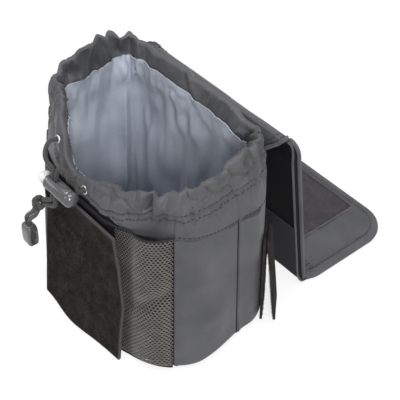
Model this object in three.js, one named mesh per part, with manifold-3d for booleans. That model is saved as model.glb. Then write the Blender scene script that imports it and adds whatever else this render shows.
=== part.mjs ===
// Padded drawstring pouch: soft box body, drawstring collar, stretch-mesh pocket with a loop panel,
// L-shaped lid thrown back behind the body, and hook-and-loop belt tabs on the rear corners.
// Millimetres, +Z up, front towards -Y, origin at the centre of the base on the floor.
import * as THREE from "three";
import { mergeVertices } from "three/addons/utils/BufferGeometryUtils.js";
import Module from "manifold-3d";

// Body
const bodyWidth = 176;
const bodyDepth = 116;
const backWidth = 166;
const frontFlat = 30;
const frontCornerDepth = 44;
const frontSlope = 12; // how far the front wall leans back by the top of its panels
const sideSlope = 5; // how far each side wall leans in by the top of its panels
const backCornerRadius = 26;
const panelHeight = 116;
const baseEdge = 6;
const frontSeam = 83; // arc from the front centre to the seam beside the mesh pocket
const rearSeam = 142; // arc from the front centre to the seam of the rear gusset
const backSeam = 194; // arc from the front centre to the seam of the back panel

// Layers
const outerFabric = 1;
const foamThickness = 3;
const liningFabric = 0.8;
const seamGap = 0.3;

// Drawstring collar
const rimHeight = 166;
const rimInset = 3;
const lowRim = 18; // the rim's lowest point above the panels
const dipCentre = -12; // arc of the rim's lowest point, by the cord lock
const dipLeftReach = 60;
const dipRightReach = 95;
const casingHeight = 24;
const casingChannel = 5.8;
const liningTop = 138;

// Drawcord, cord lock and cord end
const cordDiameter = 3.2;
const cordDrop = 12; // cord centre below the rim
const leftExit = -46; // arcs from the front centre to the two eyelets
const rightExit = -5;
const eyeletBore = 4.2;
const eyeletFlange = 8.4;
const eyeletThickness = 1.2;
const lockPlace = [-15, -1.5, -10]; // from the front of the base, and up from the low rim
const lockLean = 9; // tilt of the cords through the lock, degrees from plumb
const barrelRadius = 5.8;
const barrelLength = 24;
const barrelBore = 4.4;
const cordsFromLockCentre = -5.5;
const cordLead = 4; // straight cord above and below the lock
const lockTravel = 5; // how far the lock can slide down the straight stretch of the cords
const plungerRadius = 4;
const plungerTravel = 4;
const plungerHeadLength = 4;
const plungerReach = 4; // stem beyond the cords, towards the spring
const capLength = 6;
const springWire = 0.7;
const springTurns = 5;
const knotRadius = 5.2;
const knotPlace = [-20, -5, -23]; // from the lock
const cordEndPlace = [-18, -1.5, -43]; // from the knot
const cordEndSize = new THREE.Vector3(12, 9, 20);

// Mesh pocket and loop panel
const meshThickness = 0.8;
const pocketBottom = 8;
const pocketTop = 108;
const elasticHeight = 5;
const elasticThickness = 1.3;
const loopWidth = 88;
const loopBottom = 4;
const loopTop = 115;
const loopThickness = 3;

// Lid
const lidWidth = 158;
const riserWidth = 120;
const riserFlare = 14; // height in which the riser widens to the lid
const crestHeight = 157;
const crestOffset = 6; // crest behind the back wall
const archDepth = 15;
const archDrop = 26;
const creaseOffset = 15; // crease behind the bottom of the arch
const webThickness = 2.4;
const lidFabric = 0.8;
const stiffener = 2.6;
const bindingWidth = 4;
const ribbedHeight = 56;
const ribbedThickness = 0.8;
const tongueLength = 96;
const tongueCorner = 24;
const hookWidth = 87;
const hookThickness = 1.5;
const hookMargin = 3;

// Belt tabs
const tabWidth = 25;
const tabHeight = 80;
const tabBottom = 4;
const tabThickness = 2;
const tabBearing = 44; // direction that the tab faces, degrees from +X towards +Y
const tabOpening = 6;

// Facet sizes
const wallStations = 44;
const cordSides = 8;
const roundSides = 20;
const endSides = 5;

const wasm = await Module();
wasm.setup();

const pouch = new THREE.Group();
const finishes = {
  nylon: { color: 0x3f3f43, roughness: 0.75, metalness: 0 },
  padding: { color: 0x55555a, roughness: 0.95, metalness: 0 },
  lining: { color: 0xa9adb8, roughness: 0.8, metalness: 0 },
  mesh: { color: 0x45433f, roughness: 0.85, metalness: 0 },
  pile: { color: 0x2f2d2c, roughness: 1, metalness: 0 },
  hooks: { color: 0x35313a, roughness: 0.7, metalness: 0 },
  tape: { color: 0x4c4c50, roughness: 0.8, metalness: 0 },
  board: { color: 0x2a2a2c, roughness: 0.8, metalness: 0 },
  cord: { color: 0x35353a, roughness: 0.85, metalness: 0 },
  moulding: { color: 0x6d6d72, roughness: 0.3, metalness: 0 },
  paleMoulding: { color: 0xd8d8d8, roughness: 0.3, metalness: 0 },
  nickel: { color: 0xc9c9c9, roughness: 0.25, metalness: 1 },
};

function addPiece(name, geometry, finish) {
  const piece = new THREE.Mesh(geometry, new THREE.MeshStandardMaterial(finishes[finish]));
  piece.name = name;
  pouch.add(piece);
  return piece;
}

// Closed mesh from shared corners, turned so that its faces point out.
function closedGeometry(corners, triangles) {
  const volume = triangles.reduce((sum, [a, b, c]) => {
    const across = new THREE.Vector3().crossVectors(corners[b], corners[c]);
    return sum + corners[a].dot(across);
  }, 0);
  const index = triangles.flatMap(([a, b, c]) => (volume < 0 ? [a, c, b] : [a, b, c]));
  const geometry = new THREE.BufferGeometry().setFromPoints(corners);
  geometry.setIndex(index);
  return geometry;
}

function solidOf(geometry) {
  const bare = new THREE.BufferGeometry();
  bare.setAttribute("position", geometry.getAttribute("position"));
  bare.setIndex(geometry.index);
  const merged = mergeVertices(bare, 1e-3);
  const mesh = new wasm.Mesh({
    numProp: 3,
    vertProperties: new Float32Array(merged.getAttribute("position").array),
    triVerts: new Uint32Array(merged.index.array),
  });
  return new wasm.Manifold(mesh);
}

function cutFrom(geometry, ...tools) {
  const rest = tools.reduce((solid, tool) => solid.subtract(solidOf(tool)), solidOf(geometry));
  const mesh = rest.getMesh();
  const result = new THREE.BufferGeometry();
  result.setAttribute("position", new THREE.BufferAttribute(mesh.vertProperties, 3));
  result.setIndex(new THREE.BufferAttribute(mesh.triVerts, 1));
  return result;
}

// Plan of the body: flat front, wide elliptical front corners, straight back with round corners.
const front = -bodyDepth / 2;
const back = bodyDepth / 2;
const widestLine = front + frontCornerDepth;
const cornerLine = back - backCornerRadius;
const cornerX = backWidth / 2 - backCornerRadius;

function bodyPlan() {
  const flat = frontFlat / 2;
  const widest = bodyWidth / 2;
  const rear = backWidth / 2;
  const ease = (cornerLine - widestLine) / 2.5;
  const right = Math.PI / 2;
  const plan = new THREE.Path();
  plan.moveTo(0, front);
  plan.lineTo(flat, front);
  plan.absellipse(flat, widestLine, widest - flat, frontCornerDepth, -right, 0);
  plan.bezierCurveTo(widest, widestLine + ease, rear, cornerLine - ease, rear, cornerLine);
  plan.absarc(cornerX, cornerLine, backCornerRadius, 0, right);
  plan.lineTo(-cornerX, back);
  plan.absarc(-cornerX, cornerLine, backCornerRadius, right, 2 * right);
  plan.bezierCurveTo(-rear, cornerLine - ease, -widest, widestLine + ease, -widest, widestLine);
  plan.absellipse(-flat, widestLine, widest - flat, frontCornerDepth, 2 * right, 3 * right);
  plan.lineTo(0, front);
  return plan;
}
const plan = bodyPlan();
const girth = plan.getLength();

// Point of the wall at an arc, a depth in from the plan and a height. The front leans back and the
// sides lean in, while the back stands upright.
function wallPoint(arc, depth, z) {
  const t = THREE.MathUtils.euclideanModulo(arc / girth, 1);
  const along = plan.getTangent(t);
  const point = plan.getPoint(t);
  const rise = z / panelHeight;
  const forward = Math.max(0, widestLine - point.y) / frontCornerDepth;
  const sideways = THREE.MathUtils.clamp((cornerLine - point.y) / (cornerLine - widestLine), 0, 1);
  const shrink = (rise * sideways * sideSlope) / (bodyWidth / 2);
  const x = point.x - along.y * depth;
  const y = point.y + along.x * depth + rise * forward * frontSlope;
  return new THREE.Vector3(x * (1 - shrink), y, z);
}

// How far the outer face stands in from the plan at a height.
function lean(z) {
  if (z < baseEdge) {
    return baseEdge - Math.sqrt(baseEdge ** 2 - (baseEdge - z) ** 2);
  }
  const rise = (z - panelHeight) / (rimHeight - panelHeight);
  return rimInset * Math.max(0, rise);
}

const rimLow = panelHeight + lowRim;
function rimAt(arc) {
  const offset = THREE.MathUtils.euclideanModulo(arc - dipCentre + girth / 2, girth) - girth / 2;
  const reach = offset < 0 ? dipLeftReach : dipRightReach;
  const share = Math.min(1, Math.abs(offset) / reach);
  return rimHeight - (rimHeight - rimLow) * Math.cos((share * Math.PI) / 2) ** 2;
}

// Bottom of the casing, which stays above the panels where the rim dips.
const collarBottom = panelHeight + seamGap;
function hemAt(arc) {
  return Math.max(rimAt(arc) - casingHeight, collarBottom + 2 * outerFabric);
}

// Arcs from one place to another, with the facets of every layer on the same stations of the plan:
// even steps, and both edges of each seam.
function arcsBetween(from, to) {
  const step = girth / wallStations;
  const seams = [frontSeam, rearSeam, backSeam].flatMap((seam) => [seam, -seam, girth - seam]);
  const isSeam = (arc) => seams.some((seam) => Math.abs(arc - seam) < step / 8);
  const edges = seams.flatMap((seam) => [seam - seamGap / 2, seam + seamGap / 2]);
  const count = Math.ceil((to - from) / step);
  const first = Math.ceil(from / step);
  const even = Array.from({ length: count }, (_, i) => (first + i) * step);
  const stations = [...edges, ...even.filter((arc) => !isSeam(arc))];
  const between = stations.filter((arc) => arc > from + seamGap / 4 && arc < to - seamGap / 4);
  return [from, ...between.sort((a, b) => a - b), to];
}

// Sweep of a closed section, given as [depth, height] pairs at each arc, along the plan.
function sweepWall(from, to, sectionAt, ring = false) {
  const arcs = arcsBetween(from, to);
  if (ring) arcs.pop();
  const sections = arcs.map(sectionAt);
  const size = sections[0].length;
  const corners = [];
  arcs.forEach((arc, i) => {
    for (const [depth, z] of sections[i]) {
      corners.push(wallPoint(arc, depth, z));
    }
  });
  const triangles = [];
  const spans = ring ? arcs.length : arcs.length - 1;
  for (let i = 0; i < spans; i++) {
    const next = (i + 1) % arcs.length;
    for (let k = 0; k < size; k++) {
      const up = (k + 1) % size;
      const [a, b] = [i * size + k, i * size + up];
      const [c, d] = [next * size + k, next * size + up];
      const rising = sections[i][up][1] >= sections[i][k][1];
      if (rising) triangles.push([a, c, d], [a, d, b]);
      else triangles.push([a, c, b], [c, d, b]);
    }
  }
  if (!ring) {
    const contour = sections[0].map(([depth, z]) => new THREE.Vector2(depth, z));
    const last = (arcs.length - 1) * size;
    for (const face of THREE.ShapeUtils.triangulateShape(contour, [])) {
      const turn = THREE.ShapeUtils.area(face.map((k) => contour[k]));
      const agrees = turn * THREE.ShapeUtils.area(contour) > 0;
      const [a, b, c] = agrees ? face : [...face].reverse();
      triangles.push([a, b, c], [last + a, last + c, last + b]);
    }
  }
  return closedGeometry(corners, triangles);
}

const wallBottom = outerFabric + seamGap;
const wallLevels = [wallBottom, baseEdge / 2, baseEdge, panelHeight];

// Wall layer between two depths that follows the lean of the outer face.
function layerSection(levels, outerDepth, innerDepth) {
  const outer = levels.map((z) => [lean(z) + outerDepth, z]);
  const inner = levels.map((z) => [lean(z) + innerDepth, z]);
  return [...outer, ...inner.reverse()];
}

function addWall(name, from, to, outerDepth, thickness, finish, levels = wallLevels) {
  const section = layerSection(levels, outerDepth, outerDepth + thickness);
  addPiece(name, sweepWall(from + seamGap / 2, to - seamGap / 2, () => section), finish);
}

// Outer fabric, padding and lining of the walls.
const foamDepth = outerFabric + seamGap;
const liningDepth = foamDepth + foamThickness + seamGap;
const wallThickness = liningDepth + liningFabric;

addWall("front_panel", -frontSeam, frontSeam, 0, outerFabric, "nylon");
addWall("right_side_panel", frontSeam, rearSeam, 0, outerFabric, "nylon");
addWall("right_rear_gusset", rearSeam, backSeam, 0, outerFabric, "nylon");
addWall("back_panel", backSeam, girth - backSeam, 0, outerFabric, "nylon");
addWall("left_rear_gusset", girth - backSeam, girth - rearSeam, 0, outerFabric, "nylon");
addWall("left_side_panel", girth - rearSeam, girth - frontSeam, 0, outerFabric, "nylon");

addWall("front_foam", -frontSeam, frontSeam, foamDepth, foamThickness, "padding");
addWall("right_foam", frontSeam, backSeam, foamDepth, foamThickness, "padding");
addWall("back_foam", backSeam, girth - backSeam, foamDepth, foamThickness, "padding");
addWall("left_foam", girth - backSeam, girth - frontSeam, foamDepth, foamThickness, "padding");

const liningLevels = [...wallLevels.slice(0, -1), panelHeight, liningTop];
addPiece(
  "wall_lining",
  sweepWall(0, girth, (arc) => {
    const top = Math.min(liningTop, hemAt(arc) - seamGap);
    const levels = [...liningLevels.slice(0, -1), top];
    return layerSection(levels, liningDepth, wallThickness);
  }, true),
  "lining",
);

// Base: fabric, padding and lining laid inside the walls.
function addFloor(name, bottom, thickness, inset, finish) {
  const points = arcsBetween(0, girth).slice(0, -1).map((arc) => wallPoint(arc, inset, bottom));
  const geometry = new THREE.ExtrudeGeometry(new THREE.Shape(points), {
    depth: thickness,
    bevelEnabled: false,
  });
  addPiece(name, geometry.translate(0, 0, bottom), finish);
}

const floorInset = lean(wallBottom) + wallThickness + seamGap;
const floorLining = wallBottom + foamThickness + seamGap;
addFloor("base_panel", 0, outerFabric, lean(outerFabric), "nylon");
addFloor("base_foam", wallBottom, foamThickness, floorInset, "padding");
addFloor("base_lining", floorLining, liningFabric, floorInset, "lining");

// Collar: outer skin folded over at the rim and down again inside, which leaves the cord channel.
function collarSection(arc) {
  const rim = rimAt(arc);
  const hem = hemAt(arc);
  const bottom = collarBottom;
  const inside = outerFabric + casingChannel;
  const whole = inside + outerFabric;
  const fold = outerFabric * 1.2;
  const at = (depth, z) => [lean(z) + depth, z];
  return [
    at(0, bottom),
    at(0, (bottom + hem) / 2),
    at(0, hem),
    at(0, rim - fold),
    at(fold, rim),
    at(whole - fold, rim),
    at(whole, rim - fold),
    at(whole, hem),
    at(inside, hem),
    at(inside, rim - 2 * fold),
    at(outerFabric, rim - 2 * fold),
    at(outerFabric, hem),
    at(outerFabric, (bottom + hem) / 2),
    at(outerFabric, bottom),
  ];
}

// Turned pieces: profile of [radius, height] pairs from axis to axis.
function turned(profile, sides = roundSides) {
  return new THREE.LatheGeometry(profile.map(([r, h]) => new THREE.Vector2(r, h)), sides);
}

function turnedRing(inner, outer, height, sides = roundSides) {
  return turned([[inner, 0], [outer, 0], [outer, height], [inner, height], [inner, 0]], sides);
}

// Turns a piece that stands along +Y to stand along a direction from a place.
function aimed(geometry, direction, place) {
  const turn = new THREE.Quaternion().setFromUnitVectors(new THREE.Vector3(0, 1, 0), direction);
  return geometry.applyQuaternion(turn).translate(place.x, place.y, place.z);
}

// Outward direction of the collar at the height of the cord, and a place in from its outer face.
function exitNormal(arc) {
  const height = rimAt(arc) - cordDrop;
  const face = (at, z) => wallPoint(at, lean(z), z);
  const along = face(arc + 1, height).sub(face(arc - 1, height));
  const up = face(arc, height + 1).sub(face(arc, height - 1));
  return along.cross(up).normalize();
}

function exitPlace(arc, depth) {
  const height = rimAt(arc) - cordDrop;
  return wallPoint(arc, lean(height), height).addScaledVector(exitNormal(arc), -depth);
}

const channelMiddle = outerFabric + casingChannel / 2;
const exits = { left: leftExit, right: rightExit };
const eyeletHoles = Object.values(exits).map((arc) => {
  const length = 2 * outerFabric + channelMiddle;
  const hole = new THREE.CylinderGeometry(eyeletBore / 2, eyeletBore / 2, length, roundSides);
  return aimed(hole, exitNormal(arc), exitPlace(arc, outerFabric - length / 2 + seamGap));
});
addPiece("collar", cutFrom(sweepWall(0, girth, collarSection, true), ...eyeletHoles), "nylon");
for (const [side, arc] of Object.entries(exits)) {
  const ring = turnedRing(eyeletBore / 2, eyeletFlange / 2, eyeletThickness);
  addPiece(side + "_eyelet", aimed(ring, exitNormal(arc), exitPlace(arc, -seamGap)), "nickel");
}

// Cords: round section along a smooth curve through points.
function cordAlong(points, steps, diameter = cordDiameter, sides = cordSides) {
  const ringPoints = Array.from({ length: sides }, (_, i) => {
    const angle = (2 * Math.PI * i) / sides;
    return new THREE.Vector2(Math.cos(angle), Math.sin(angle)).multiplyScalar(diameter / 2);
  });
  return new THREE.ExtrudeGeometry(new THREE.Shape(ringPoints), {
    steps,
    bevelEnabled: false,
    extrudePath: new THREE.CatmullRomCurve3(points, false, "centripetal"),
  });
}

const cordClear = cordDiameter + seamGap;
const casingArcs = arcsBetween(rightExit + cordClear, girth + leftExit - cordClear);
const casingRun = casingArcs.map((arc) => exitPlace(arc, channelMiddle));
addPiece("drawcord", cordAlong(casingRun, casingArcs.length - 1), "cord");

const shifted = (from, [x, y, z]) => new THREE.Vector3(x, y, z).add(from);
const lockCentre = shifted(new THREE.Vector3(0, front, rimLow), lockPlace);
const knotCentre = shifted(lockCentre, knotPlace);
const cordEndCentre = shifted(knotCentre, cordEndPlace);
const leanAngle = THREE.MathUtils.degToRad(lockLean);
const cordDirection = new THREE.Vector3(0, -Math.sin(leanAngle), -Math.cos(leanAngle));
const cordSpacing = cordDiameter + seamGap;
const cordX = lockCentre.x + cordsFromLockCentre;

function throughLock(side, distance) {
  const point = lockCentre.clone().addScaledVector(cordDirection, distance);
  point.x = cordX + (side * cordSpacing) / 2;
  return point;
}

// Free cords: straight out of each eyelet, round to the lock, through it and on to the knot, then
// the tails from the knot to the cord end. The points are where the cords lie, from the lock.
const cordRoutes = {
  left: [
    [-23.1, 7.5, 20.1],
    [-19.7, 3.5, 17.2],
    [-15.2, 1.5, 15.6],
    [-10.8, 1.1, 15],
    [-7.9, 1.7, 12.9],
  ],
  right: [
    [8, 8.7, 3],
    [5, 7.9, 9],
    [1.6, 5.7, 14.4],
    [-1.3, 3.5, 16.4],
    [-2.8, 2.3, 14],
  ],
};
const lockEntry = -barrelRadius - cordLead;
const lockLeave = barrelRadius + lockTravel + cordLead / 2;

// Point on the line from the knot to another place, beside the middle of the two cords.
function besideLine(place, distance, sign) {
  const way = new THREE.Vector3().subVectors(place, knotCentre).normalize();
  const across = new THREE.Vector3(Math.abs(way.z), 0, -way.x * Math.sign(way.z)).normalize();
  const aside = across.multiplyScalar((sign * cordSpacing) / 2);
  return knotCentre.clone().addScaledVector(way, distance).add(aside);
}

function cordRun(side, sign) {
  const outside = [channelMiddle, -eyeletThickness, -2 * eyeletThickness - cordDiameter];
  const turnAt = lockLeave + ((1 + sign) * cordSpacing) / 2;
  return [
    ...outside.map((depth) => exitPlace(exits[side], depth)),
    ...cordRoutes[side].map((place) => shifted(lockCentre, place)),
    throughLock(sign, lockEntry),
    throughLock(sign, 0),
    throughLock(sign, lockLeave - lockTravel / 2),
    throughLock(sign, turnAt),
    besideLine(throughLock(0, lockLeave), knotRadius + seamGap, sign),
  ];
}
const cordEndTop = shifted(cordEndCentre, [0, 0, cordEndSize.z / 2]);
const tailReach = cordEndTop.distanceTo(knotCentre);
for (const [side, sign] of [["left", -1], ["right", 1]]) {
  const run = cordRun(side, sign);
  addPiece(side + "_cord", cordAlong(run, run.length * 4), "cord");
  const fromKnot = [knotRadius + seamGap, tailReach / 2];
  const intoEnd = [1.5 * cordDiameter - (sign * cordSpacing) / 7, seamGap];
  const tail = [
    ...fromKnot.map((distance) => besideLine(cordEndTop, distance, sign)),
    ...intoEnd.map((lift) => shifted(cordEndTop, [(sign * cordSpacing) / 2, 0, lift])),
  ];
  addPiece(side + "_cord_tail", cordAlong(tail, 10), "cord");
}

const knot = new THREE.SphereGeometry(knotRadius, 12, 8);
addPiece("cord_knot", knot.translate(knotCentre.x, knotCentre.y, knotCentre.z), "cord");

function roundedRectangle(width, height, radius) {
  const [x, y] = [width / 2, height / 2];
  const shape = new THREE.Shape();
  shape.moveTo(x - radius, -y);
  shape.absarc(x - radius, radius - y, radius, -Math.PI / 2, 0);
  shape.absarc(x - radius, y - radius, radius, 0, Math.PI / 2);
  shape.absarc(radius - x, y - radius, radius, Math.PI / 2, Math.PI);
  shape.absarc(radius - x, radius - y, radius, Math.PI, 1.5 * Math.PI);
  return shape;
}

// Cord end: moulded bead that grips the two tails and hangs upright.
function cordEnd() {
  const edge = cordEndSize.y / 6;
  const face = roundedRectangle(cordEndSize.x - 2 * edge, cordEndSize.z - 2 * edge, edge * 1.5);
  const bead = new THREE.ExtrudeGeometry(face, {
    depth: cordEndSize.y - 2 * edge,
    bevelSize: edge,
    bevelThickness: edge,
    bevelSegments: 2,
    curveSegments: endSides,
  });
  bead.translate(0, 0, edge - cordEndSize.y / 2);
  bead.rotateX(Math.PI / 2);
  return bead.translate(cordEndCentre.x, cordEndCentre.y, cordEndCentre.z);
}
addPiece("cord_end", cordEnd(), "moulding");

// Cord lock: barrel across the front, plunger on the left, cap on the right, spring between.
const axisX = new THREE.Vector3(1, 0, 0);
const slotHeight = cordDiameter + 4 * seamGap;
const slotLength = 2 * cordDiameter + 7 * seamGap;

function cordSlot(from, to) {
  const slot = new THREE.BoxGeometry(to - from, slotHeight, 4 * barrelRadius);
  slot.rotateX(-leanAngle);
  return slot.translate((from + to) / 2, lockCentre.y, lockCentre.z);
}

const barrelStart = new THREE.Vector3(-barrelLength / 2, 0, 0).add(lockCentre);
const barrelEnd = barrelStart.x + barrelLength;
const slotStart = cordX - slotLength / 2;
const slotEnd = cordX + slotLength / 2;
const barrelTube = turnedRing(barrelBore, barrelRadius, barrelLength);
addPiece(
  "cord_lock_barrel",
  cutFrom(aimed(barrelTube, axisX, barrelStart), cordSlot(slotStart, slotEnd)),
  "moulding",
);

const capStart = new THREE.Vector3(barrelEnd + seamGap, lockCentre.y, lockCentre.z);
const domeRise = capLength / 3;
const cap = turned([
  [0, 0],
  [barrelRadius, 0],
  [barrelRadius, domeRise],
  [barrelRadius * 0.85, 2 * domeRise],
  [barrelRadius * 0.5, 2.8 * domeRise],
  [0, capLength],
]);
addPiece("cord_lock_cap", aimed(cap, axisX, capStart), "moulding");

const stemEnd = slotEnd + plungerReach - barrelStart.x;
const headStart = -plungerTravel - seamGap;
const headRadius = (plungerRadius + barrelRadius) / 2;
const plunger = turned([
  [0, headStart - plungerHeadLength],
  [headRadius * 0.6, headStart - plungerHeadLength * 0.9],
  [headRadius, headStart - plungerHeadLength / 2],
  [headRadius, headStart],
  [plungerRadius, headStart],
  [plungerRadius, stemEnd],
  [0, stemEnd],
]);
addPiece(
  "cord_lock_plunger",
  cutFrom(aimed(plunger, axisX, barrelStart), cordSlot(slotStart - plungerTravel, slotEnd)),
  "paleMoulding",
);

// Spring between the plunger and the cap: an open helix with plain ends.
function lockSpring() {
  const start = barrelStart.x + stemEnd + seamGap + springWire / 2;
  const end = barrelEnd - springWire / 2;
  const radius = plungerRadius - springWire;
  const stepsPerTurn = 8;
  const count = springTurns * stepsPerTurn;
  const points = Array.from({ length: count + 1 }, (_, i) => {
    const angle = (2 * Math.PI * i) / stepsPerTurn;
    const x = start + ((end - start) * i) / count;
    const y = lockCentre.y + radius * Math.cos(angle);
    return new THREE.Vector3(x, y, lockCentre.z + radius * Math.sin(angle));
  });
  return cordAlong(points, count, springWire, 5);
}
addPiece("cord_lock_spring", lockSpring(), "nickel");

// Mesh pocket over the front, its elastic top edge, and the loop panel sewn on its middle.
const meshOuter = meshThickness + seamGap;
const pocketLevels = [pocketBottom, pocketTop];
addWall("mesh_pocket", -frontSeam, frontSeam, -meshOuter, meshThickness, "mesh", pocketLevels);
const elasticBottom = pocketTop + seamGap;
addWall(
  "pocket_elastic",
  -frontSeam,
  frontSeam,
  -elasticThickness - seamGap,
  elasticThickness,
  "tape",
  [elasticBottom, elasticBottom + elasticHeight],
);
const loopBack = front - Math.max(meshOuter, elasticThickness + seamGap) - seamGap;
const loopHeight = loopTop - loopBottom;
const loopPanel = new THREE.BoxGeometry(loopWidth, loopThickness, loopHeight);
loopPanel.translate(0, loopBack - front - loopThickness / 2, loopBottom + loopHeight / 2);
loopPanel.rotateX(-Math.atan(frontSlope / panelHeight));
loopPanel.translate(0, front, 0);
addPiece("loop_panel", loopPanel, "pile");

// Lid, drawn as sections across its width in the plane of Y and Z.
const crest = new THREE.Vector2(back + crestOffset, crestHeight);
const archFoot = new THREE.Vector2(crest.x + archDepth, crestHeight - archDrop);
const creaseHeight = lidFabric + seamGap + stiffener / 2;
const crease = new THREE.Vector2(archFoot.x + creaseOffset, creaseHeight);

function acrossWidth(shape, width) {
  const solid = new THREE.ExtrudeGeometry(shape, { depth: width, bevelEnabled: false });
  const frame = new THREE.Matrix4().makeBasis(
    new THREE.Vector3(0, 1, 0),
    new THREE.Vector3(0, 0, 1),
    new THREE.Vector3(1, 0, 0),
  );
  return solid.applyMatrix4(frame).translate(-width / 2, 0, 0);
}

// Band of even thickness along a line of points, with a half-round end where it turns on a hinge.
function band(line, thickness, roundStart, roundEnd) {
  const half = thickness / 2;
  const normals = line.map((_, i) => {
    const before = line[Math.max(0, i - 1)];
    const after = line[Math.min(line.length - 1, i + 1)];
    const along = new THREE.Vector2().subVectors(after, before).normalize();
    return new THREE.Vector2(-along.y, along.x);
  });
  const edge = (sign) => line.map((p, i) => p.clone().addScaledVector(normals[i], sign * half));
  const nose = (i, heading) =>
    Array.from({ length: endSides - 1 }, (_, k) => {
      const angle = heading - (Math.PI * (k + 1)) / endSides;
      const spoke = new THREE.Vector2(Math.cos(angle), Math.sin(angle)).multiplyScalar(half);
      return spoke.add(line[i]);
    });
  const last = line.length - 1;
  const endNose = roundEnd ? nose(last, normals[last].angle()) : [];
  const startNose = roundStart ? nose(0, normals[0].angle() + Math.PI) : [];
  return new THREE.Shape([...edge(1), ...endNose, ...edge(-1).reverse(), ...startNose]);
}

// Riser, sewn into the seam between the back panel and the collar, that widens to the lid at its top.
function besideRiser(sign) {
  const flat = (x, z) => new THREE.Vector2(sign * x, z);
  const outline = [
    flat(riserWidth / 2, 0),
    flat(riserWidth / 2, crest.y - riserFlare),
    flat(lidWidth / 2, crest.y),
    flat(lidWidth, crest.y),
    flat(lidWidth, 0),
  ];
  const prism = new THREE.ExtrudeGeometry(new THREE.Shape(outline), {
    depth: 2 * crest.x,
    bevelEnabled: false,
  });
  return prism.rotateX(Math.PI / 2).translate(0, 2 * crest.x, 0);
}
const riserBottom = new THREE.Vector2(back + seamGap + webThickness / 2, collarBottom);
const riser = band([riserBottom, crest], webThickness, false, true);
const riserBand = acrossWidth(riser, lidWidth);
addPiece("lid_riser", cutFrom(riserBand, besideRiser(1), besideRiser(-1)), "nylon");

// Arch over the crest: a quarter of an ellipse that starts clear of the riser's round top.
function archLine() {
  const steps = 7;
  const start = Math.PI / 2;
  const clear = webThickness / 2 + seamGap;
  const points = Array.from({ length: steps + 1 }, (_, i) => {
    const angle = start - (start * i) / steps;
    const y = crest.x + archDepth * Math.cos(angle);
    return new THREE.Vector2(y, archFoot.y + archDrop * Math.sin(angle));
  });
  points[0].x += clear;
  return points;
}
const strip = band(archLine(), webThickness, false, true);
addPiece("lid_strip", acrossWidth(strip, lidWidth), "nylon");

const lidDown = new THREE.Vector2().subVectors(crease, archFoot).normalize();
const lidOutward = new THREE.Vector2(lidDown.y, -lidDown.x); // towards the pouch while the lid is open
const lidReach = archFoot.distanceTo(crease);
const panelWidth = lidWidth - 2 * (bindingWidth + seamGap);
const skinOffset = stiffener / 2 + seamGap + lidFabric / 2;
const foldClear = stiffener / 2 + seamGap;
const skinClear = 2 * foldClear;
const noseStart = webThickness / 2 + 2 * seamGap + stiffener / 2;

function lidLine(from, to, offset) {
  return [from, to].map((distance) =>
    archFoot.clone().addScaledVector(lidDown, distance).addScaledVector(lidOutward, offset),
  );
}

function addLidLayer(name, from, to, offset, thickness, finish, round = false) {
  const shape = band(lidLine(from, to, offset), thickness, round, round);
  addPiece(name, acrossWidth(shape, panelWidth), finish);
}
addLidLayer("lid_stiffener", noseStart, lidReach, 0, stiffener, "board", true);
const skinEnd = lidReach - skinClear;
addLidLayer("lid_outer", skinClear, skinEnd, skinOffset, lidFabric, "nylon");
addLidLayer("lid_lining", skinClear, skinEnd, -skinOffset, lidFabric, "nylon");
const ribbedOffset = skinOffset + lidFabric / 2 + seamGap + ribbedThickness / 2;
const ribbedEnd = skinEnd - ribbedThickness;
const ribbedStart = ribbedEnd - ribbedHeight;
addLidLayer("lid_ribbed_band", ribbedStart, ribbedEnd, ribbedOffset, ribbedThickness, "tape");

const stackThickness = stiffener + 2 * (seamGap + lidFabric);
for (const [side, sign] of [["right", 1], ["left", -1]]) {
  const section = band(lidLine(skinClear, skinEnd, 0), stackThickness, false, false);
  const binding = acrossWidth(section, bindingWidth);
  binding.translate((sign * (lidWidth - bindingWidth)) / 2, 0, 0);
  addPiece("lid_" + side + "_binding", binding, "tape");
}

// Tongue: flat on the floor behind the crease, with two round outer corners.
function tonguePlan(width, from, to, corner) {
  const half = width / 2;
  const shape = new THREE.Shape();
  shape.moveTo(-half, from);
  shape.lineTo(half, from);
  shape.lineTo(half, to - corner);
  shape.absarc(half - corner, to - corner, corner, 0, Math.PI / 2);
  shape.lineTo(corner - half, to);
  shape.absarc(corner - half, to - corner, corner, Math.PI / 2, Math.PI);
  return shape;
}

function flatPiece(shape, bottom, thickness) {
  const options = { depth: thickness, bevelEnabled: false, curveSegments: 6 };
  return new THREE.ExtrudeGeometry(shape, options).translate(0, 0, bottom);
}

const tongueEnd = crease.x + tongueLength;
const layerEnd = tongueEnd - bindingWidth - seamGap;
const layerCorner = tongueCorner - bindingWidth - seamGap;
const stiffenerBottom = lidFabric + seamGap;
const tongueLiningBottom = stiffenerBottom + stiffener + seamGap;
const tongueTop = tongueLiningBottom + lidFabric;
const layerPlan = (start) => tonguePlan(panelWidth, crease.x + start, layerEnd, layerCorner);
addPiece("tongue_outer", flatPiece(layerPlan(skinClear), 0, lidFabric), "nylon");
addPiece("tongue_stiffener", flatPiece(layerPlan(foldClear), stiffenerBottom, stiffener), "board");
addPiece("tongue_lining", flatPiece(layerPlan(skinClear), tongueLiningBottom, lidFabric), "nylon");

// Binding round three sides: the outer outline out, then the inner outline back.
function bindingPlan() {
  const start = crease.x + skinClear;
  const outer = tonguePlan(lidWidth, start, tongueEnd, tongueCorner).getPoints(6);
  const gap = seamGap;
  const hole = tonguePlan(panelWidth + 2 * gap, start, layerEnd + gap, layerCorner + gap);
  const inner = hole.getPoints(6);
  const openAlong = (points) => [...points.slice(1), points[0]];
  return new THREE.Shape([...openAlong(outer), ...openAlong(inner).reverse()]);
}
const bindingRise = seamGap / 2;
addPiece("tongue_binding", flatPiece(bindingPlan(), bindingRise, tongueTop - bindingRise), "tape");

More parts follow.
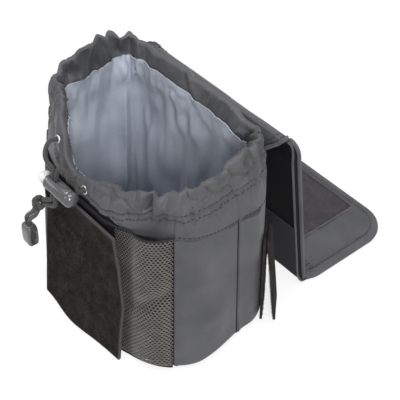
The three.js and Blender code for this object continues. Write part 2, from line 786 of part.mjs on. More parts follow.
const hookFrom = crease.x + skinClear + hookMargin;
const hookTo = layerEnd - hookMargin;
const hookPanel = new THREE.BoxGeometry(hookWidth, hookTo - hookFrom, hookThickness);
hookPanel.translate(0, (hookFrom + hookTo) / 2, tongueTop + seamGap + hookThickness / 2);
addPiece("hook_panel", hookPanel, "hooks");

// Belt tabs on both rear corners: the loop tab lies on the corner, the hook tab folds off its top.
function addTabs(side, sign) {
  const bearing = THREE.MathUtils.degToRad(tabBearing);
  const place = new THREE.Group();
  place.position.set(sign * cornerX, cornerLine, 0);
  place.rotation.z = Math.PI / 2 + sign * (bearing - Math.PI / 2);
  const loopDistance = backCornerRadius + seamGap + tabThickness / 2;
  const loopTab = new THREE.BoxGeometry(tabThickness, tabWidth, tabHeight);
  loopTab.translate(loopDistance, 0, tabBottom + tabHeight / 2);
  const hookTab = new THREE.BoxGeometry(tabThickness, tabWidth, tabHeight);
  hookTab.translate(0, 0, -tabHeight / 2);
  hookTab.rotateY(THREE.MathUtils.degToRad(-tabOpening));
  hookTab.translate(loopDistance + tabThickness + seamGap, 0, tabBottom + tabHeight);
  place.add(addPiece(side + "_belt_tab_loop", loopTab, "pile"));
  place.add(addPiece(side + "_belt_tab_hook", hookTab, "hooks"));
  pouch.add(place);
}
addTabs("right", 1);
addTabs("left", -1);

export default pouch;
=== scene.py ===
import math

import bmesh
import bpy
import numpy as np
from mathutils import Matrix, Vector


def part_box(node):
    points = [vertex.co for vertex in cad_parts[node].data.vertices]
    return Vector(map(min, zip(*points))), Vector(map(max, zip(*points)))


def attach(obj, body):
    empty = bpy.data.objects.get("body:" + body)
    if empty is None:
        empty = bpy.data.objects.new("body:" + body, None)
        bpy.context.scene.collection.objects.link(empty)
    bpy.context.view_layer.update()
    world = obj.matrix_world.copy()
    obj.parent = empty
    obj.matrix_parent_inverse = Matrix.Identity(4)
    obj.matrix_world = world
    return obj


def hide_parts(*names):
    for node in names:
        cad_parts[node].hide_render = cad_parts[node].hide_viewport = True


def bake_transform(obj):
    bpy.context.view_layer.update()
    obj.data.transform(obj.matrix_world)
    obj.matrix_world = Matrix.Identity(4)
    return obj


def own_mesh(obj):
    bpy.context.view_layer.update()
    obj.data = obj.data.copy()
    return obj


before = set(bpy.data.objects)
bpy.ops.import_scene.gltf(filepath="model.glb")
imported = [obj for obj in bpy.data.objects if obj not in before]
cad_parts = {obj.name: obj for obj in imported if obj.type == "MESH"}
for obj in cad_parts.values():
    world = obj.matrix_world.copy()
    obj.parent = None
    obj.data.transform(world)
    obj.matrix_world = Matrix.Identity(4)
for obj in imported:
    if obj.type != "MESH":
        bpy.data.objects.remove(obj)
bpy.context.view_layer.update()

scene = bpy.context.scene
mm = 0.001

# camera at the photograph's angle
cameraSetup = {
    "azimuth": 50.1, "elevation": 42.6, "lens": 102.15, "distance": 0.832,
    "target": (0.021, 0.0365, 0.083),
}


def addCamera(setup):
    turn, rise = math.radians(setup["azimuth"]), math.radians(setup["elevation"])
    away = Vector((math.sin(turn) * math.cos(rise), -math.cos(turn) * math.cos(rise), math.sin(rise)))
    data = bpy.data.cameras.new("photoCamera")
    data.lens = setup["lens"]
    data.sensor_width = 36
    data.dof.use_dof = False
    camera = bpy.data.objects.new("photoCamera", data)
    camera.location = Vector(setup["target"]) + away * setup["distance"]
    camera.rotation_euler = (-away).to_track_quat("-Z", "Y").to_euler()
    scene.collection.objects.link(camera)
    scene.camera = camera


addCamera(cameraSetup)
scene.view_settings.view_transform = "Standard"
print("camera set")


# small helpers for node trees
def addNode(tree, kind, **settings):
    node = tree.nodes.new(kind)
    for key, value in settings.items():
        setattr(node, key, value)
    return node


def fill(node, **values):  # an underscore stands for a space in the socket's name
    for name, value in values.items():
        node.inputs[name.replace("_", " ")].default_value = value
    return node


def wire(tree, *joins):  # each join: node, output, node, input
    for source, output, target, entry in joins:
        tree.links.new(source.outputs[output], target.inputs[entry])


def mathNode(tree, operation, *values):
    node = addNode(tree, "ShaderNodeMath", operation=operation)
    for socket, value in zip(node.inputs, values):
        if isinstance(value, (int, float)):
            socket.default_value = value
        else:
            tree.links.new(value, socket)
    return node.outputs[0]


def shaderGroup(name, inputs, outputs):
    tree = bpy.data.node_groups.new(name, "ShaderNodeTree")
    for label, kind, value in inputs:
        socket = tree.interface.new_socket(label, in_out="INPUT", socket_type=kind)
        if value is not None:
            socket.default_value = value
    for label, kind in outputs:
        tree.interface.new_socket(label, in_out="OUTPUT", socket_type=kind)
    return tree, addNode(tree, "NodeGroupInput"), addNode(tree, "NodeGroupOutput")


vectorSocket, floatSocket, colourSocket = "NodeSocketVector", "NodeSocketFloat", "NodeSocketColor"
countSocket, finishSocket, shapeSocket = "NodeSocketInt", "NodeSocketMaterial", "NodeSocketGeometry"


def buildWeave():  # plain weave: yarns pass over and under each other
    tree, given, out = shaderGroup(
        "clothWeave",
        [("Vector", vectorSocket, None), ("Pitch", floatSocket, 0.0007), ("Slub", floatSocket, 0.35)],
        [("Height", floatSocket), ("Tone", floatSocket)],
    )
    split = addNode(tree, "ShaderNodeSeparateXYZ")
    slubs = fill(addNode(tree, "ShaderNodeTexNoise"), Scale=420.0, Detail=2.0)
    wire(tree, (given, "Vector", split, 0), (given, "Vector", slubs, "Vector"))
    waves = []
    for axis in "XY":
        turns = mathNode(tree, "DIVIDE", split.outputs[axis], given.outputs["Pitch"])
        waves.append(mathNode(tree, "SINE", mathNode(tree, "MULTIPLY", turns, math.pi)))
    checks = mathNode(tree, "MULTIPLY_ADD", mathNode(tree, "MULTIPLY", *waves), 0.5, 0.5)
    uneven = mathNode(tree, "SUBTRACT", slubs.outputs["Fac"], 0.5)
    height = mathNode(tree, "ADD", checks, mathNode(tree, "MULTIPLY", uneven, given.outputs["Slub"]))
    tree.links.new(height, out.inputs["Height"])
    tree.links.new(mathNode(tree, "MULTIPLY_ADD", height, 0.3, 0.84), out.inputs["Tone"])
    return tree


def buildDrift():  # slow change of shade over a piece, with rubbed patches
    tree, given, out = shaderGroup(
        "toneDrift",
        [("Vector", vectorSocket, None), ("Scale", floatSocket, 30.0), ("Dark", colourSocket, None),
         ("Light", colourSocket, None), ("Speck", floatSocket, 0.25)],
        [("Color", colourSocket), ("Mask", floatSocket)],
    )
    broad = fill(addNode(tree, "ShaderNodeTexNoise"), Detail=3.0, Roughness=0.55)
    fine = fill(addNode(tree, "ShaderNodeTexNoise"), Scale=900.0, Detail=2.0)
    specks = mathNode(tree, "SUBTRACT", fine.outputs["Fac"], 0.5)
    specks = mathNode(tree, "MULTIPLY", mathNode(tree, "MULTIPLY", specks, given.outputs["Speck"]), 3.0)
    spread = mathNode(tree, "SUBTRACT", broad.outputs["Fac"], 0.5)
    mask = mathNode(tree, "ADD", mathNode(tree, "MULTIPLY_ADD", spread, 2.2, 0.5), specks)
    mix = addNode(tree, "ShaderNodeMix", data_type="RGBA", clamp_factor=True)
    tree.links.new(mask, mix.inputs["Factor"])
    tree.links.new(mask, out.inputs["Mask"])
    wire(tree, (given, "Vector", broad, "Vector"), (given, "Scale", broad, "Scale"), (given, "Vector", fine, "Vector"),
         (given, "Dark", mix, 6), (given, "Light", mix, 7), (mix, 2, out, "Color"))
    return tree


def buildRib():  # cords across a woven tape
    tree, given, out = shaderGroup(
        "tapeRib",
        [("Vector", vectorSocket, None), ("Pitch", floatSocket, 0.001)],
        [("Height", floatSocket), ("Tone", floatSocket)],
    )
    split = addNode(tree, "ShaderNodeSeparateXYZ")
    wire(tree, (given, "Vector", split, 0))
    turns = mathNode(tree, "DIVIDE", split.outputs["X"], given.outputs["Pitch"])
    wave = mathNode(tree, "SINE", mathNode(tree, "MULTIPLY", turns, 2 * math.pi))
    height = mathNode(tree, "MULTIPLY_ADD", wave, 0.5, 0.5)
    tree.links.new(height, out.inputs["Height"])
    tree.links.new(mathNode(tree, "MULTIPLY_ADD", height, 0.35, 0.8), out.inputs["Tone"])
    return tree


def buildScuff():  # fine scratches and haze on mouldings
    tree, given, out = shaderGroup(
        "mouldedScuff",
        [("Vector", vectorSocket, None), ("Scale", floatSocket, 250.0)],
        [("Height", floatSocket), ("Haze", floatSocket)],
    )
    haze = fill(addNode(tree, "ShaderNodeTexNoise"), Detail=4.0, Roughness=0.6)
    grain = fill(addNode(tree, "ShaderNodeTexNoise"), Scale=2500.0, Detail=1.0)
    wire(tree, (given, "Vector", haze, "Vector"), (given, "Scale", haze, "Scale"), (given, "Vector", grain, "Vector"),
         (grain, "Fac", out, "Height"), (haze, "Fac", out, "Haze"))
    return tree


weaveTree, driftTree, ribTree, scuffTree = buildWeave(), buildDrift(), buildRib(), buildScuff()


def groupNode(tree, group, **values):
    return fill(addNode(tree, "ShaderNodeGroup", node_tree=group), **values)


def newMaterial(name):
    material = bpy.data.materials.new(name)
    material.use_nodes = True
    return material, material.node_tree, material.node_tree.nodes["Principled BSDF"]


def startFinish(name, dark, light, drift, speck):  # shade changes slowly on object coordinates
    material, tree, shader = newMaterial(name)
    where = addNode(tree, "ShaderNodeTexCoord")
    shade = groupNode(tree, driftTree, Scale=drift, Dark=(*dark, 1.0), Light=(*light, 1.0), Speck=speck)
    wire(tree, (where, "Object", shade, "Vector"))
    return material, tree, shader, where, shade


def roughInto(tree, shader, mask, low, high):
    tree.links.new(mathNode(tree, "MULTIPLY_ADD", mask, high - low, low), shader.inputs["Roughness"])


def bumpInto(tree, shader, height, strength, distance):
    bump = fill(addNode(tree, "ShaderNodeBump"), Strength=strength, Distance=distance)
    tree.links.new(height, bump.inputs["Height"])
    wire(tree, (bump, "Normal", shader, "Normal"))


clothLook = {
    "pattern": weaveTree, "pitch": 0.0007, "relief": 0.4, "bump": 0.35, "rough": (0.55, 0.75), "drift": 28.0,
    "speck": 0.2, "sheen": 0.15, "sheenRough": 0.4, "shine": 0.35,
}
tapeLook = {
    "pattern": ribTree, "pitch": 0.0011, "relief": 0.3, "bump": 0.5, "rough": (0.62, 0.77), "drift": 40.0,
    "speck": 0.3, "sheen": 0.12, "sheenRough": 0.5, "shine": 0.4,
}


# cloth and tape: the pattern lies on the piece's own UV map
def wovenFinish(name, dark, light, look, **changes):
    look = {**look, **changes}
    material, tree, shader, _, shade = startFinish(name, dark, light, look["drift"], look["speck"])
    uv = addNode(tree, "ShaderNodeUVMap", uv_map="cloth")
    pattern = groupNode(tree, look["pattern"], Pitch=look["pitch"])
    mix = fill(addNode(tree, "ShaderNodeMix", data_type="RGBA", blend_type="MULTIPLY"), Factor=1.0)
    wire(tree, (uv, 0, pattern, "Vector"), (shade, "Color", mix, 6), (pattern, "Tone", mix, 7),
         (mix, 2, shader, "Base Color"))
    roughInto(tree, shader, shade.outputs["Mask"], *look["rough"])
    bumpInto(tree, shader, pattern.outputs["Height"], look["bump"], look["pitch"] * look["relief"])
    fill(shader, Sheen_Weight=look["sheen"], Sheen_Roughness=look["sheenRough"], Specular_IOR_Level=look["shine"])
    return material


# pile, knit and thread: bump and shade from the same mask
def fuzzyFinish(name, dark, light, scale, rough, sheen, speck=0.5, shine=0.4):
    material, tree, shader, _, shade = startFinish(name, dark, light, scale, speck)
    wire(tree, (shade, "Color", shader, "Base Color"))
    roughInto(tree, shader, shade.outputs["Mask"], rough - 0.05, rough + 0.05)
    bumpInto(tree, shader, shade.outputs["Mask"], 0.6, 0.0006)
    fill(shader, Sheen_Weight=sheen, Specular_IOR_Level=shine)
    return material


def mouldedFinish(name, dark, light, rough, metal=0.0, coat=0.0):
    material, tree, shader, where, shade = startFinish(name, dark, light, 60.0, 0.15)
    scuff = groupNode(tree, scuffTree)
    wire(tree, (where, "Object", scuff, "Vector"), (shade, "Color", shader, "Base Color"))
    roughInto(tree, shader, scuff.outputs["Haze"], rough - 0.08, rough + 0.08)
    bumpInto(tree, shader, scuff.outputs["Height"], 0.08, 0.0001)
    fill(shader, Metallic=metal, Coat_Weight=coat)
    return material


finishes = {  # name, dark shade, light shade, then what differs
    "nylon": wovenFinish("coatedNylon", (0.045, 0.0455, 0.05), (0.086, 0.0865, 0.094), clothLook,
                         rough=(0.42, 0.6), sheen=0.08, shine=0.28),
    # near-black nylon: the colour of black parts, and also painted shade on the front panel behind the net, on the
    # pocket backing and on the lid's inner face
    "nylonBlackAndPaintedShade": wovenFinish("blackNylonAndPaintedShade", (0.005, 0.005, 0.006), (0.009, 0.009, 0.011), clothLook,
                              rough=(0.6, 0.8), sheen=0.0, shine=0.12),
    "lining": wovenFinish("paleLining", (0.29, 0.315, 0.37), (0.42, 0.45, 0.52), clothLook,
                          pitch=0.0006, rough=(0.45, 0.6), drift=22.0),
    "tape": wovenFinish("wovenTape", (0.045, 0.045, 0.05), (0.08, 0.08, 0.087), tapeLook),
    "elastic": wovenFinish("ribbedElastic", (0.01, 0.01, 0.012), (0.02, 0.02, 0.023), tapeLook,
                           pitch=0.0014, sheen=0.0, shine=0.2),
    "cord": wovenFinish("braidedCord", (0.017, 0.0165, 0.016), (0.045, 0.0435, 0.042), tapeLook,
                        pitch=0.0016, bump=0.3),
    "mesh": fuzzyFinish("knitMesh", (0.06, 0.057, 0.051), (0.115, 0.109, 0.099), 90.0, 0.75, 0.1),
    "pile": fuzzyFinish("loopPile", (0.0125, 0.0114, 0.0107), (0.034, 0.031, 0.0288), 120.0, 0.95, 0.0,
                        speck=0.3, shine=0.08),
    "pileEdge": fuzzyFinish("loopSelvedge", (0.03, 0.0285, 0.0275), (0.048, 0.046, 0.044), 300.0, 0.8, 0.05),
    "hooks": fuzzyFinish("hookTape", (0.038, 0.034, 0.039), (0.07, 0.062, 0.07), 120.0, 0.65, 0.05, shine=0.22),
    "hookEdge": fuzzyFinish("hookSelvedge", (0.06, 0.057, 0.061), (0.09, 0.086, 0.091), 300.0, 0.7, 0.05),
    "thread": fuzzyFinish("sewingThread", (0.01, 0.01, 0.011), (0.02, 0.02, 0.022), 300.0, 0.6, 0.0),
    "moulding": mouldedFinish("greyMoulding", (0.052, 0.052, 0.055), (0.075, 0.075, 0.079), 0.18, coat=0.25),
    "paleMoulding": mouldedFinish("paleMoulding", (0.58, 0.58, 0.58), (0.66, 0.66, 0.66), 0.22, coat=0.3),
    "nickel": mouldedFinish("nickelPlate", (0.62, 0.61, 0.6), (0.74, 0.73, 0.72), 0.34, metal=1.0),
}
print("finishes made")


# meshes: points in millimetres, part frame
def smoothMesh(name, points, faces, finish, uv=None, sharp=50.0):
    mesh = bpy.data.meshes.new(name)
    mesh.from_pydata((np.asarray(points, float) * mm).tolist(), [], [list(map(int, f)) for f in faces])
    if uv is not None:
        layer = mesh.uv_layers.new(name="cloth")
        layer.data.foreach_set("uv", np.asarray(uv, np.float32).ravel())
    mesh.materials.append(finishes[finish])
    mesh.polygons.foreach_set("use_smooth", np.ones(len(mesh.polygons), bool))
    mesh.update()
    mesh.set_sharp_from_angle(angle=math.radians(sharp))
    piece = bpy.data.objects.new(name, mesh)
    scene.collection.objects.link(piece)
    return piece


def gridFaces(rows, columns, ring):  # faces of a grid, and the row and column of each corner
    wide = columns if ring else columns - 1
    r, c = np.meshgrid(np.arange(rows - 1), np.arange(wide), indexing="ij")
    corners = ((r, c), (r, c + 1), (r + 1, c + 1), (r + 1, c))
    spots = np.stack([np.stack(corner, -1) for corner in corners], -2).reshape(-1, 4, 2)
    return spots[..., 0] * columns + spots[..., 1] % columns, spots


def gridNormals(grid, ring):
    if ring:
        across = np.roll(grid, -1, 1) - np.roll(grid, 1, 1)
    else:
        across = np.gradient(grid, axis=1)
    normals = np.cross(across, np.gradient(grid, axis=0))
    return normals / np.maximum(np.linalg.norm(normals, axis=-1, keepdims=True), 1e-9)


def signedVolume(points, faces):
    a, b, c, d = (points[faces[:, k]] for k in range(4))
    return float((np.cross(a, b) * c).sum() + (np.cross(a, c) * d).sum())


# faces of four with caps of any length, turned to point outwards
def closedMesh(name, points, faces, caps, finish, uv=None, sharp=50.0):
    if signedVolume(points - points.mean(0), faces) < 0:
        faces, caps = faces[:, ::-1], [cap[::-1] for cap in caps]
        uv = None if uv is None else uv[:, ::-1]
    if uv is not None:
        uv = np.concatenate([uv.reshape(-1, 2), np.zeros((sum(map(len, caps)), 2))])
    return smoothMesh(name, points, faces.tolist() + caps, finish, uv, sharp)


def endCaps(rows, columns):  # first and last ring of a grid
    first = list(range(columns))
    return [first[::-1], [(rows - 1) * columns + k for k in first]]


# closed shell from a grid of face points and a thickness that goes in behind it
def shell(name, grid, thickness, uv, finish, ring=False, back=None, sharp=50.0):
    rows, columns = grid.shape[:2]
    if back is None:
        back = grid - gridNormals(grid, ring) * thickness
    points = np.concatenate([grid.reshape(-1, 3), back.reshape(-1, 3)])
    count = rows * columns
    face, spots = gridFaces(rows, columns, ring)
    faces, places = [face, face[:, ::-1] + count], [spots, spots[:, ::-1]]
    wide = columns + 1 if ring else columns
    borders = [[(0, c) for c in range(wide)], [(rows - 1, c) for c in range(wide)][::-1]]
    if not ring:
        borders += [[(r, 0) for r in range(rows)][::-1], [(r, columns - 1) for r in range(rows)]]
    for line in map(np.array, borders):
        index = line[:, 0] * columns + line[:, 1] % columns
        faces.append(np.stack([index[1:], index[:-1], index[:-1] + count, index[1:] + count], -1))
        places.append(np.stack([line[1:], line[:-1], line[:-1], line[1:]], 1))
    faces, places = np.concatenate(faces), np.concatenate(places)
    if signedVolume(points, faces) < 0:
        faces, places = faces[:, ::-1], places[:, ::-1]
    if ring:  # the map runs on past the last column
        step = uv[:, -1:] + (uv[:, 1:2] - uv[:, :1])
        uv = np.concatenate([uv, step], 1)
    return smoothMesh(name, points, faces, finish, uv[places[..., 0], places[..., 1]], sharp)


def runOf(line):  # distance along a line at each of its points
    return np.r_[0, np.cumsum(np.linalg.norm(np.diff(line, axis=0), axis=1))]


def headings(line):
    ahead = np.gradient(line, axis=0)
    return ahead / np.linalg.norm(ahead, axis=1, keepdims=True)


# tube along a line of points; relief gives the radius share at each ring and side
def tube(name, line, radius, sides, finish, relief=None):
    line = np.asarray(line, float)
    ahead = headings(line)
    side = np.cross(ahead[0], (0.31, 0.17, 0.93))  # any direction off the line
    across = []
    for step in ahead:
        side = side - step * side.dot(step)
        side = side / np.linalg.norm(side)
        across.append(side)
    across = np.array(across)
    up = np.cross(ahead, across)
    angles = 2 * np.pi * np.arange(sides) / sides
    spokes = across[:, None] * np.cos(angles)[:, None] + up[:, None] * np.sin(angles)[:, None]
    reach = np.full((len(line), sides), float(radius))
    travel = runOf(line)
    if relief is not None:
        reach *= relief(travel[:, None], angles)
    grid = line[:, None] + spokes * reach[..., None]
    points = np.concatenate([grid.reshape(-1, 3), line[:1], line[-1:]])
    faces, spots = gridFaces(len(line), sides, True)
    uv = np.stack([travel[spots[..., 0]], 2 * np.pi * radius * spots[..., 1] / sides], -1) * mm
    count, last = len(line) * sides, (len(line) - 1) * sides
    caps = [(count, (k + 1) % sides, k) for k in range(sides)]
    caps += [(count + 1, last + k, last + (k + 1) % sides) for k in range(sides)]
    return closedMesh(name, points, faces, caps, finish, uv)


# turned piece: profile of (radius, along) pairs on an axis through a centre
def turned(name, profile, centre, axis, sides, finish, sharp=40.0):
    axis = np.asarray(axis, float) / np.linalg.norm(axis)
    side = np.cross(axis, (0.0, 0.0, 1.0) if abs(axis[2]) < 0.9 else (1.0, 0.0, 0.0))
    side /= np.linalg.norm(side)
    up = np.cross(axis, side)
    angles = 2 * np.pi * np.arange(sides) / sides
    spokes = side * np.cos(angles)[:, None] + up * np.sin(angles)[:, None]
    rings = [np.asarray(centre) + axis * h + spokes * r for r, h in profile]
    closed = profile[0] == profile[-1]  # a closed profile makes a ring, an open one gets caps
    if closed:
        rings = rings[:-1]
    count = len(rings)
    faces, _ = gridFaces(count + 1 if closed else count, sides, True)
    caps = [] if closed else endCaps(count, sides)
    return closedMesh(name, np.concatenate(rings), faces % (count * sides), caps, finish, None, sharp)


def curveThrough(points, count):  # smooth line through points, centripetal
    p = np.asarray(points, float)
    p = np.concatenate([[2 * p[0] - p[1]], p, [2 * p[-1] - p[-2]]])
    t = np.r_[0, np.cumsum(np.sqrt(np.linalg.norm(np.diff(p, axis=0), axis=1)))]
    fine = []
    for i in range(1, len(p) - 2):
        for s in np.linspace(t[i], t[i + 1], 24, endpoint=False):
            mixPair = lambda a, b, ta, tb: (tb - s) / (tb - ta) * a + (s - ta) / (tb - ta) * b
            a1, a2, a3 = (mixPair(p[k], p[k + 1], t[k], t[k + 1]) for k in (i - 1, i, i + 1))
            b1 = mixPair(a1, a2, t[i - 1], t[i + 1])
            b2 = mixPair(a2, a3, t[i], t[i + 2])
            fine.append(mixPair(b1, b2, t[i], t[i + 1]))
    fine.append(p[-2])
    return evenly(np.array(fine), count)


def evenly(line, count):
    travel = runOf(line)
    at = np.linspace(0, travel[-1], count)
    return np.stack([np.interp(at, travel, line[:, k]) for k in range(3)], -1)


def lengthOf(line):
    return float(np.linalg.norm(np.diff(np.asarray(line), axis=0), axis=1).sum())


def softNoise(x, y, cell, seed, period=0):  # smooth value noise, -1 to 1
    wide, tall = 193, 97
    lattice = np.random.default_rng(seed).uniform(-1, 1, (wide, tall))
    gx, gy = np.asarray(x, float) / cell, np.asarray(y, float) / cell
    i, j = np.floor(gx).astype(int), np.floor(gy).astype(int)
    fx, fy = (f * f * f * (f * (f * 6 - 15) + 10) for f in (gx - i, gy - j))
    pick = lambda a, b: lattice[a % (period or wide), b % tall]
    low = pick(i, j) * (1 - fx) + pick(i + 1, j) * fx
    high = pick(i, j + 1) * (1 - fx) + pick(i + 1, j + 1) * fx
    return low * (1 - fy) + high * fy


def smoothStep(x, start, end):
    t = np.clip((np.asarray(x, float) - start) / (end - start), 0, 1)
    return t * t * (3 - 2 * t)


def dress(piece, bodyName, slotName, *nodes):
    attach(piece, bodyName)
    if nodes:
        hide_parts(*nodes)
    return piece


# walls of the pouch: plan and lean as in the part
body = {
    "width": 176.0, "depth": 116.0, "backWidth": 166.0, "frontFlat": 30.0, "cornerDepth": 44.0,
    "frontSlope": 12.0, "sideSlope": 5.0, "backCorner": 26.0, "panelHeight": 116.0, "baseEdge": 6.0,
    "frontSeam": 83.0, "rearSeam": 142.0, "backSeam": 194.0, "seamRise": 7.0, "rim": 166.0, "rimInset": 3.0,
    "rimLow": 134.0, "dipCentre": -12.0, "dipLeft": 60.0, "dipRight": 95.0, "casing": 24.0,
}
frontY, backY = -body["depth"] / 2, body["depth"] / 2
widestY = frontY + body["cornerDepth"]
cornerY = backY - body["backCorner"]
cornerX = body["backWidth"] / 2 - body["backCorner"]


def planLine():
    t = np.linspace(0, 1, 500)[:, None]
    flat, wide, rear = body["frontFlat"] / 2, body["width"] / 2, body["backWidth"] / 2
    quarter = t * np.pi / 2
    ease = (cornerY - widestY) / 2.5
    frontRun = np.hstack([flat * t, frontY + 0 * t])
    sweep = np.hstack([flat + (wide - flat) * np.sin(quarter), widestY - body["cornerDepth"] * np.cos(quarter)])
    a, b = np.array((wide, widestY)), np.array((wide, widestY + ease))
    c, d = np.array((rear, cornerY - ease)), np.array((rear, cornerY))
    side = (1 - t) ** 3 * a + 3 * (1 - t) ** 2 * t * b + 3 * (1 - t) * t * t * c + t ** 3 * d
    corner = np.hstack([cornerX + body["backCorner"] * np.cos(quarter), cornerY + body["backCorner"] * np.sin(quarter)])
    backRun = np.hstack([cornerX * (1 - t), backY + 0 * t])
    half = np.concatenate([frontRun, sweep, side, corner, backRun])
    whole = np.concatenate([half, half[::-1] * (-1, 1)])
    whole = whole[np.r_[True, np.linalg.norm(np.diff(whole, axis=0), axis=1) > 1e-9]]
    return whole, runOf(whole)


planPoints, planArcs = planLine()
girth = float(planArcs[-1])


def planAt(arc):
    a = np.mod(arc, girth)
    return np.interp(a, planArcs, planPoints[:, 0]), np.interp(a, planArcs, planPoints[:, 1])


def wallAt(arc, depth, z):  # depth goes in from the plan
    arc, depth, z = np.broadcast_arrays(np.asarray(arc, float), np.asarray(depth, float), np.asarray(z, float))
    x, y = planAt(arc)
    x0, y0 = planAt(arc - 0.5)
    x1, y1 = planAt(arc + 0.5)
    tx, ty = x1 - x0, y1 - y0
    size = np.hypot(tx, ty)
    tx, ty = tx / size, ty / size
    rise = z / body["panelHeight"]
    forward = np.maximum(0, widestY - y) / body["cornerDepth"]
    sideways = np.clip((cornerY - y) / (cornerY - widestY), 0, 1)
    shrink = rise * sideways * body["sideSlope"] / (body["width"] / 2)
    return np.stack([(x - ty * depth) * (1 - shrink), y + tx * depth + rise * forward * body["frontSlope"], z], -1)


def leanAt(z):
    z = np.asarray(z, float)
    edge = body["baseEdge"]
    low = edge - np.sqrt(np.maximum(0, edge ** 2 - (edge - np.minimum(z, edge)) ** 2))
    rise = (z - body["panelHeight"]) / (body["rim"] - body["panelHeight"])
    return low + body["rimInset"] * np.maximum(0, rise)


def arcOff(arc, centre):  # signed distance round the girth
    return np.mod(np.asarray(arc, float) - centre + girth / 2, girth) - girth / 2


def hump(arc, centre, width):
    return np.exp(-(arcOff(arc, centre) / width) ** 2)


def rimAt(arc):
    off = arcOff(arc, body["dipCentre"])
    reach = np.where(off < 0, body["dipLeft"], body["dipRight"])
    share = np.minimum(1, np.abs(off) / reach)
    return body["rim"] - (body["rim"] - body["rimLow"]) * np.cos(share * np.pi / 2) ** 2


def seamTop(arc):  # seam between panels and collar climbs beside the front seams
    off = np.abs(arcOff(arc, 0)) - body["frontSeam"]
    climb = smoothStep(off, -9, 1) * (1 - smoothStep(off, 5, 56))
    return body["panelHeight"] + body["seamRise"] * climb


# cords: the same runs as their solids
cordSetup = {
    "diameter": 3.2, "lock": (-15.0, -59.5, 124.0), "knot": (-35.0, -64.5, 101.0), "end": (-53.0, -66.0, 58.0),
    "lean": 9.0, "spacing": 3.5, "cordX": -20.5, "leftExit": -46.0, "rightExit": -5.0, "drop": 12.0,
    "braidPitch": 5.5, "knotRadius": 5.2, "knotGap": 0.3,
    "lockEntry": -9.8, "lockLeave": 12.8,  # along the cords from the lock's middle
    "exitDepths": (3.9, -1.2, -5.6),  # from inside the casing to clear of the eyelet
    "leftRoute": [(-23.1, 7.5, 20.1), (-19.7, 3.5, 17.2), (-15.2, 1.5, 15.6), (-10.8, 1.1, 15), (-7.9, 1.7, 12.9)],
    "rightRoute": [(8, 8.7, 3), (5, 7.9, 9), (1.6, 5.7, 14.4), (-1.3, 3.5, 16.4), (-2.8, 2.3, 14)],
}
lockPlace, knotPlace, cordEndPlace = (np.array(cordSetup[k]) for k in ("lock", "knot", "end"))
cordLean = math.radians(cordSetup["lean"])
cordWay = np.array([0, -math.sin(cordLean), -math.cos(cordLean)])


def wallFace(arc, z):
    return wallAt(arc, leanAt(z), z)


def exitHeight(arc):
    return float(rimAt(arc)) - cordSetup["drop"]


def exitNormal(arc):
    z = exitHeight(arc)
    normal = np.cross(wallFace(arc + 1, z) - wallFace(arc - 1, z), wallFace(arc, z + 1) - wallFace(arc, z - 1))
    return normal / np.linalg.norm(normal)


def exitPlace(arc, depth):
    return wallFace(arc, exitHeight(arc)) - exitNormal(arc) * depth


def throughLock(sign, distance):
    point = lockPlace + cordWay * distance
    point[0] = cordSetup["cordX"] + sign * cordSetup["spacing"] / 2
    return point


def besideLine(place, distance, sign):
    way = place - knotPlace
    way = way / np.linalg.norm(way)
    across = np.array([abs(way[2]), 0, -way[0] * np.sign(way[2])])
    across *= sign * cordSetup["spacing"] / 2 / np.linalg.norm(across)
    return knotPlace + way * distance + across


def braid(travel, angle):  # strands that cross over each other round the cord
    turn = 2 * np.pi * travel / cordSetup["braidPitch"]
    over = np.abs(np.sin(2 * angle + turn)) + np.abs(np.sin(2 * angle - turn))
    return 0.9 + 0.075 * over


# cord end: upright bead with a dished oval on its two narrow faces
beadSetup = {
    "width": 12.0, "depth": 9.0, "height": 20.0, "dish": 1.0, "oval": (3.0, 6.6), "around": 72, "rows": 40,
    "square": 0.45, "shoulder": 0.55, "taper": 0.4, "pole": 0.02,  # nearer 0 is squarer
}


def signedPower(value, power):
    return np.sign(value) * np.abs(value) ** power


def addBead():
    s = beadSetup
    angle = 2 * np.pi * np.arange(s["around"]) / s["around"]
    ringX, ringY = signedPower(np.cos(angle), s["square"]), signedPower(np.sin(angle), s["square"])
    grid = []
    for t in np.linspace(-np.pi / 2 + s["pole"], np.pi / 2 - s["pole"], s["rows"]):
        h = signedPower(math.sin(t), s["shoulder"]) * s["height"] / 2
        share = math.cos(t) ** s["taper"]
        x, y = ringX * s["width"] / 2 * share, ringY * s["depth"] / 2 * share
        oval = 1 - (y / s["oval"][0]) ** 2 - (h / s["oval"][1]) ** 2
        x = x - np.sign(x) * s["dish"] * smoothStep(oval, 0.0, 0.25) * (np.abs(x) > s["width"] * 0.3)
        grid.append(cordEndPlace + np.column_stack([x, y, np.full_like(x, h)]))
    faces, _ = gridFaces(s["rows"], s["around"], True)
    piece = closedMesh("cordEnd", np.concatenate(grid), faces, endCaps(s["rows"], s["around"]), "moulding")
    return dress(piece, "pouch", "moulding", "cord_end")


cordBead = addBead()


def addCord(name, line, node):
    piece = tube(name, line, cordSetup["diameter"] / 2, 20, "cord", braid)
    dress(piece, "pouch", "cord", node)
    return piece


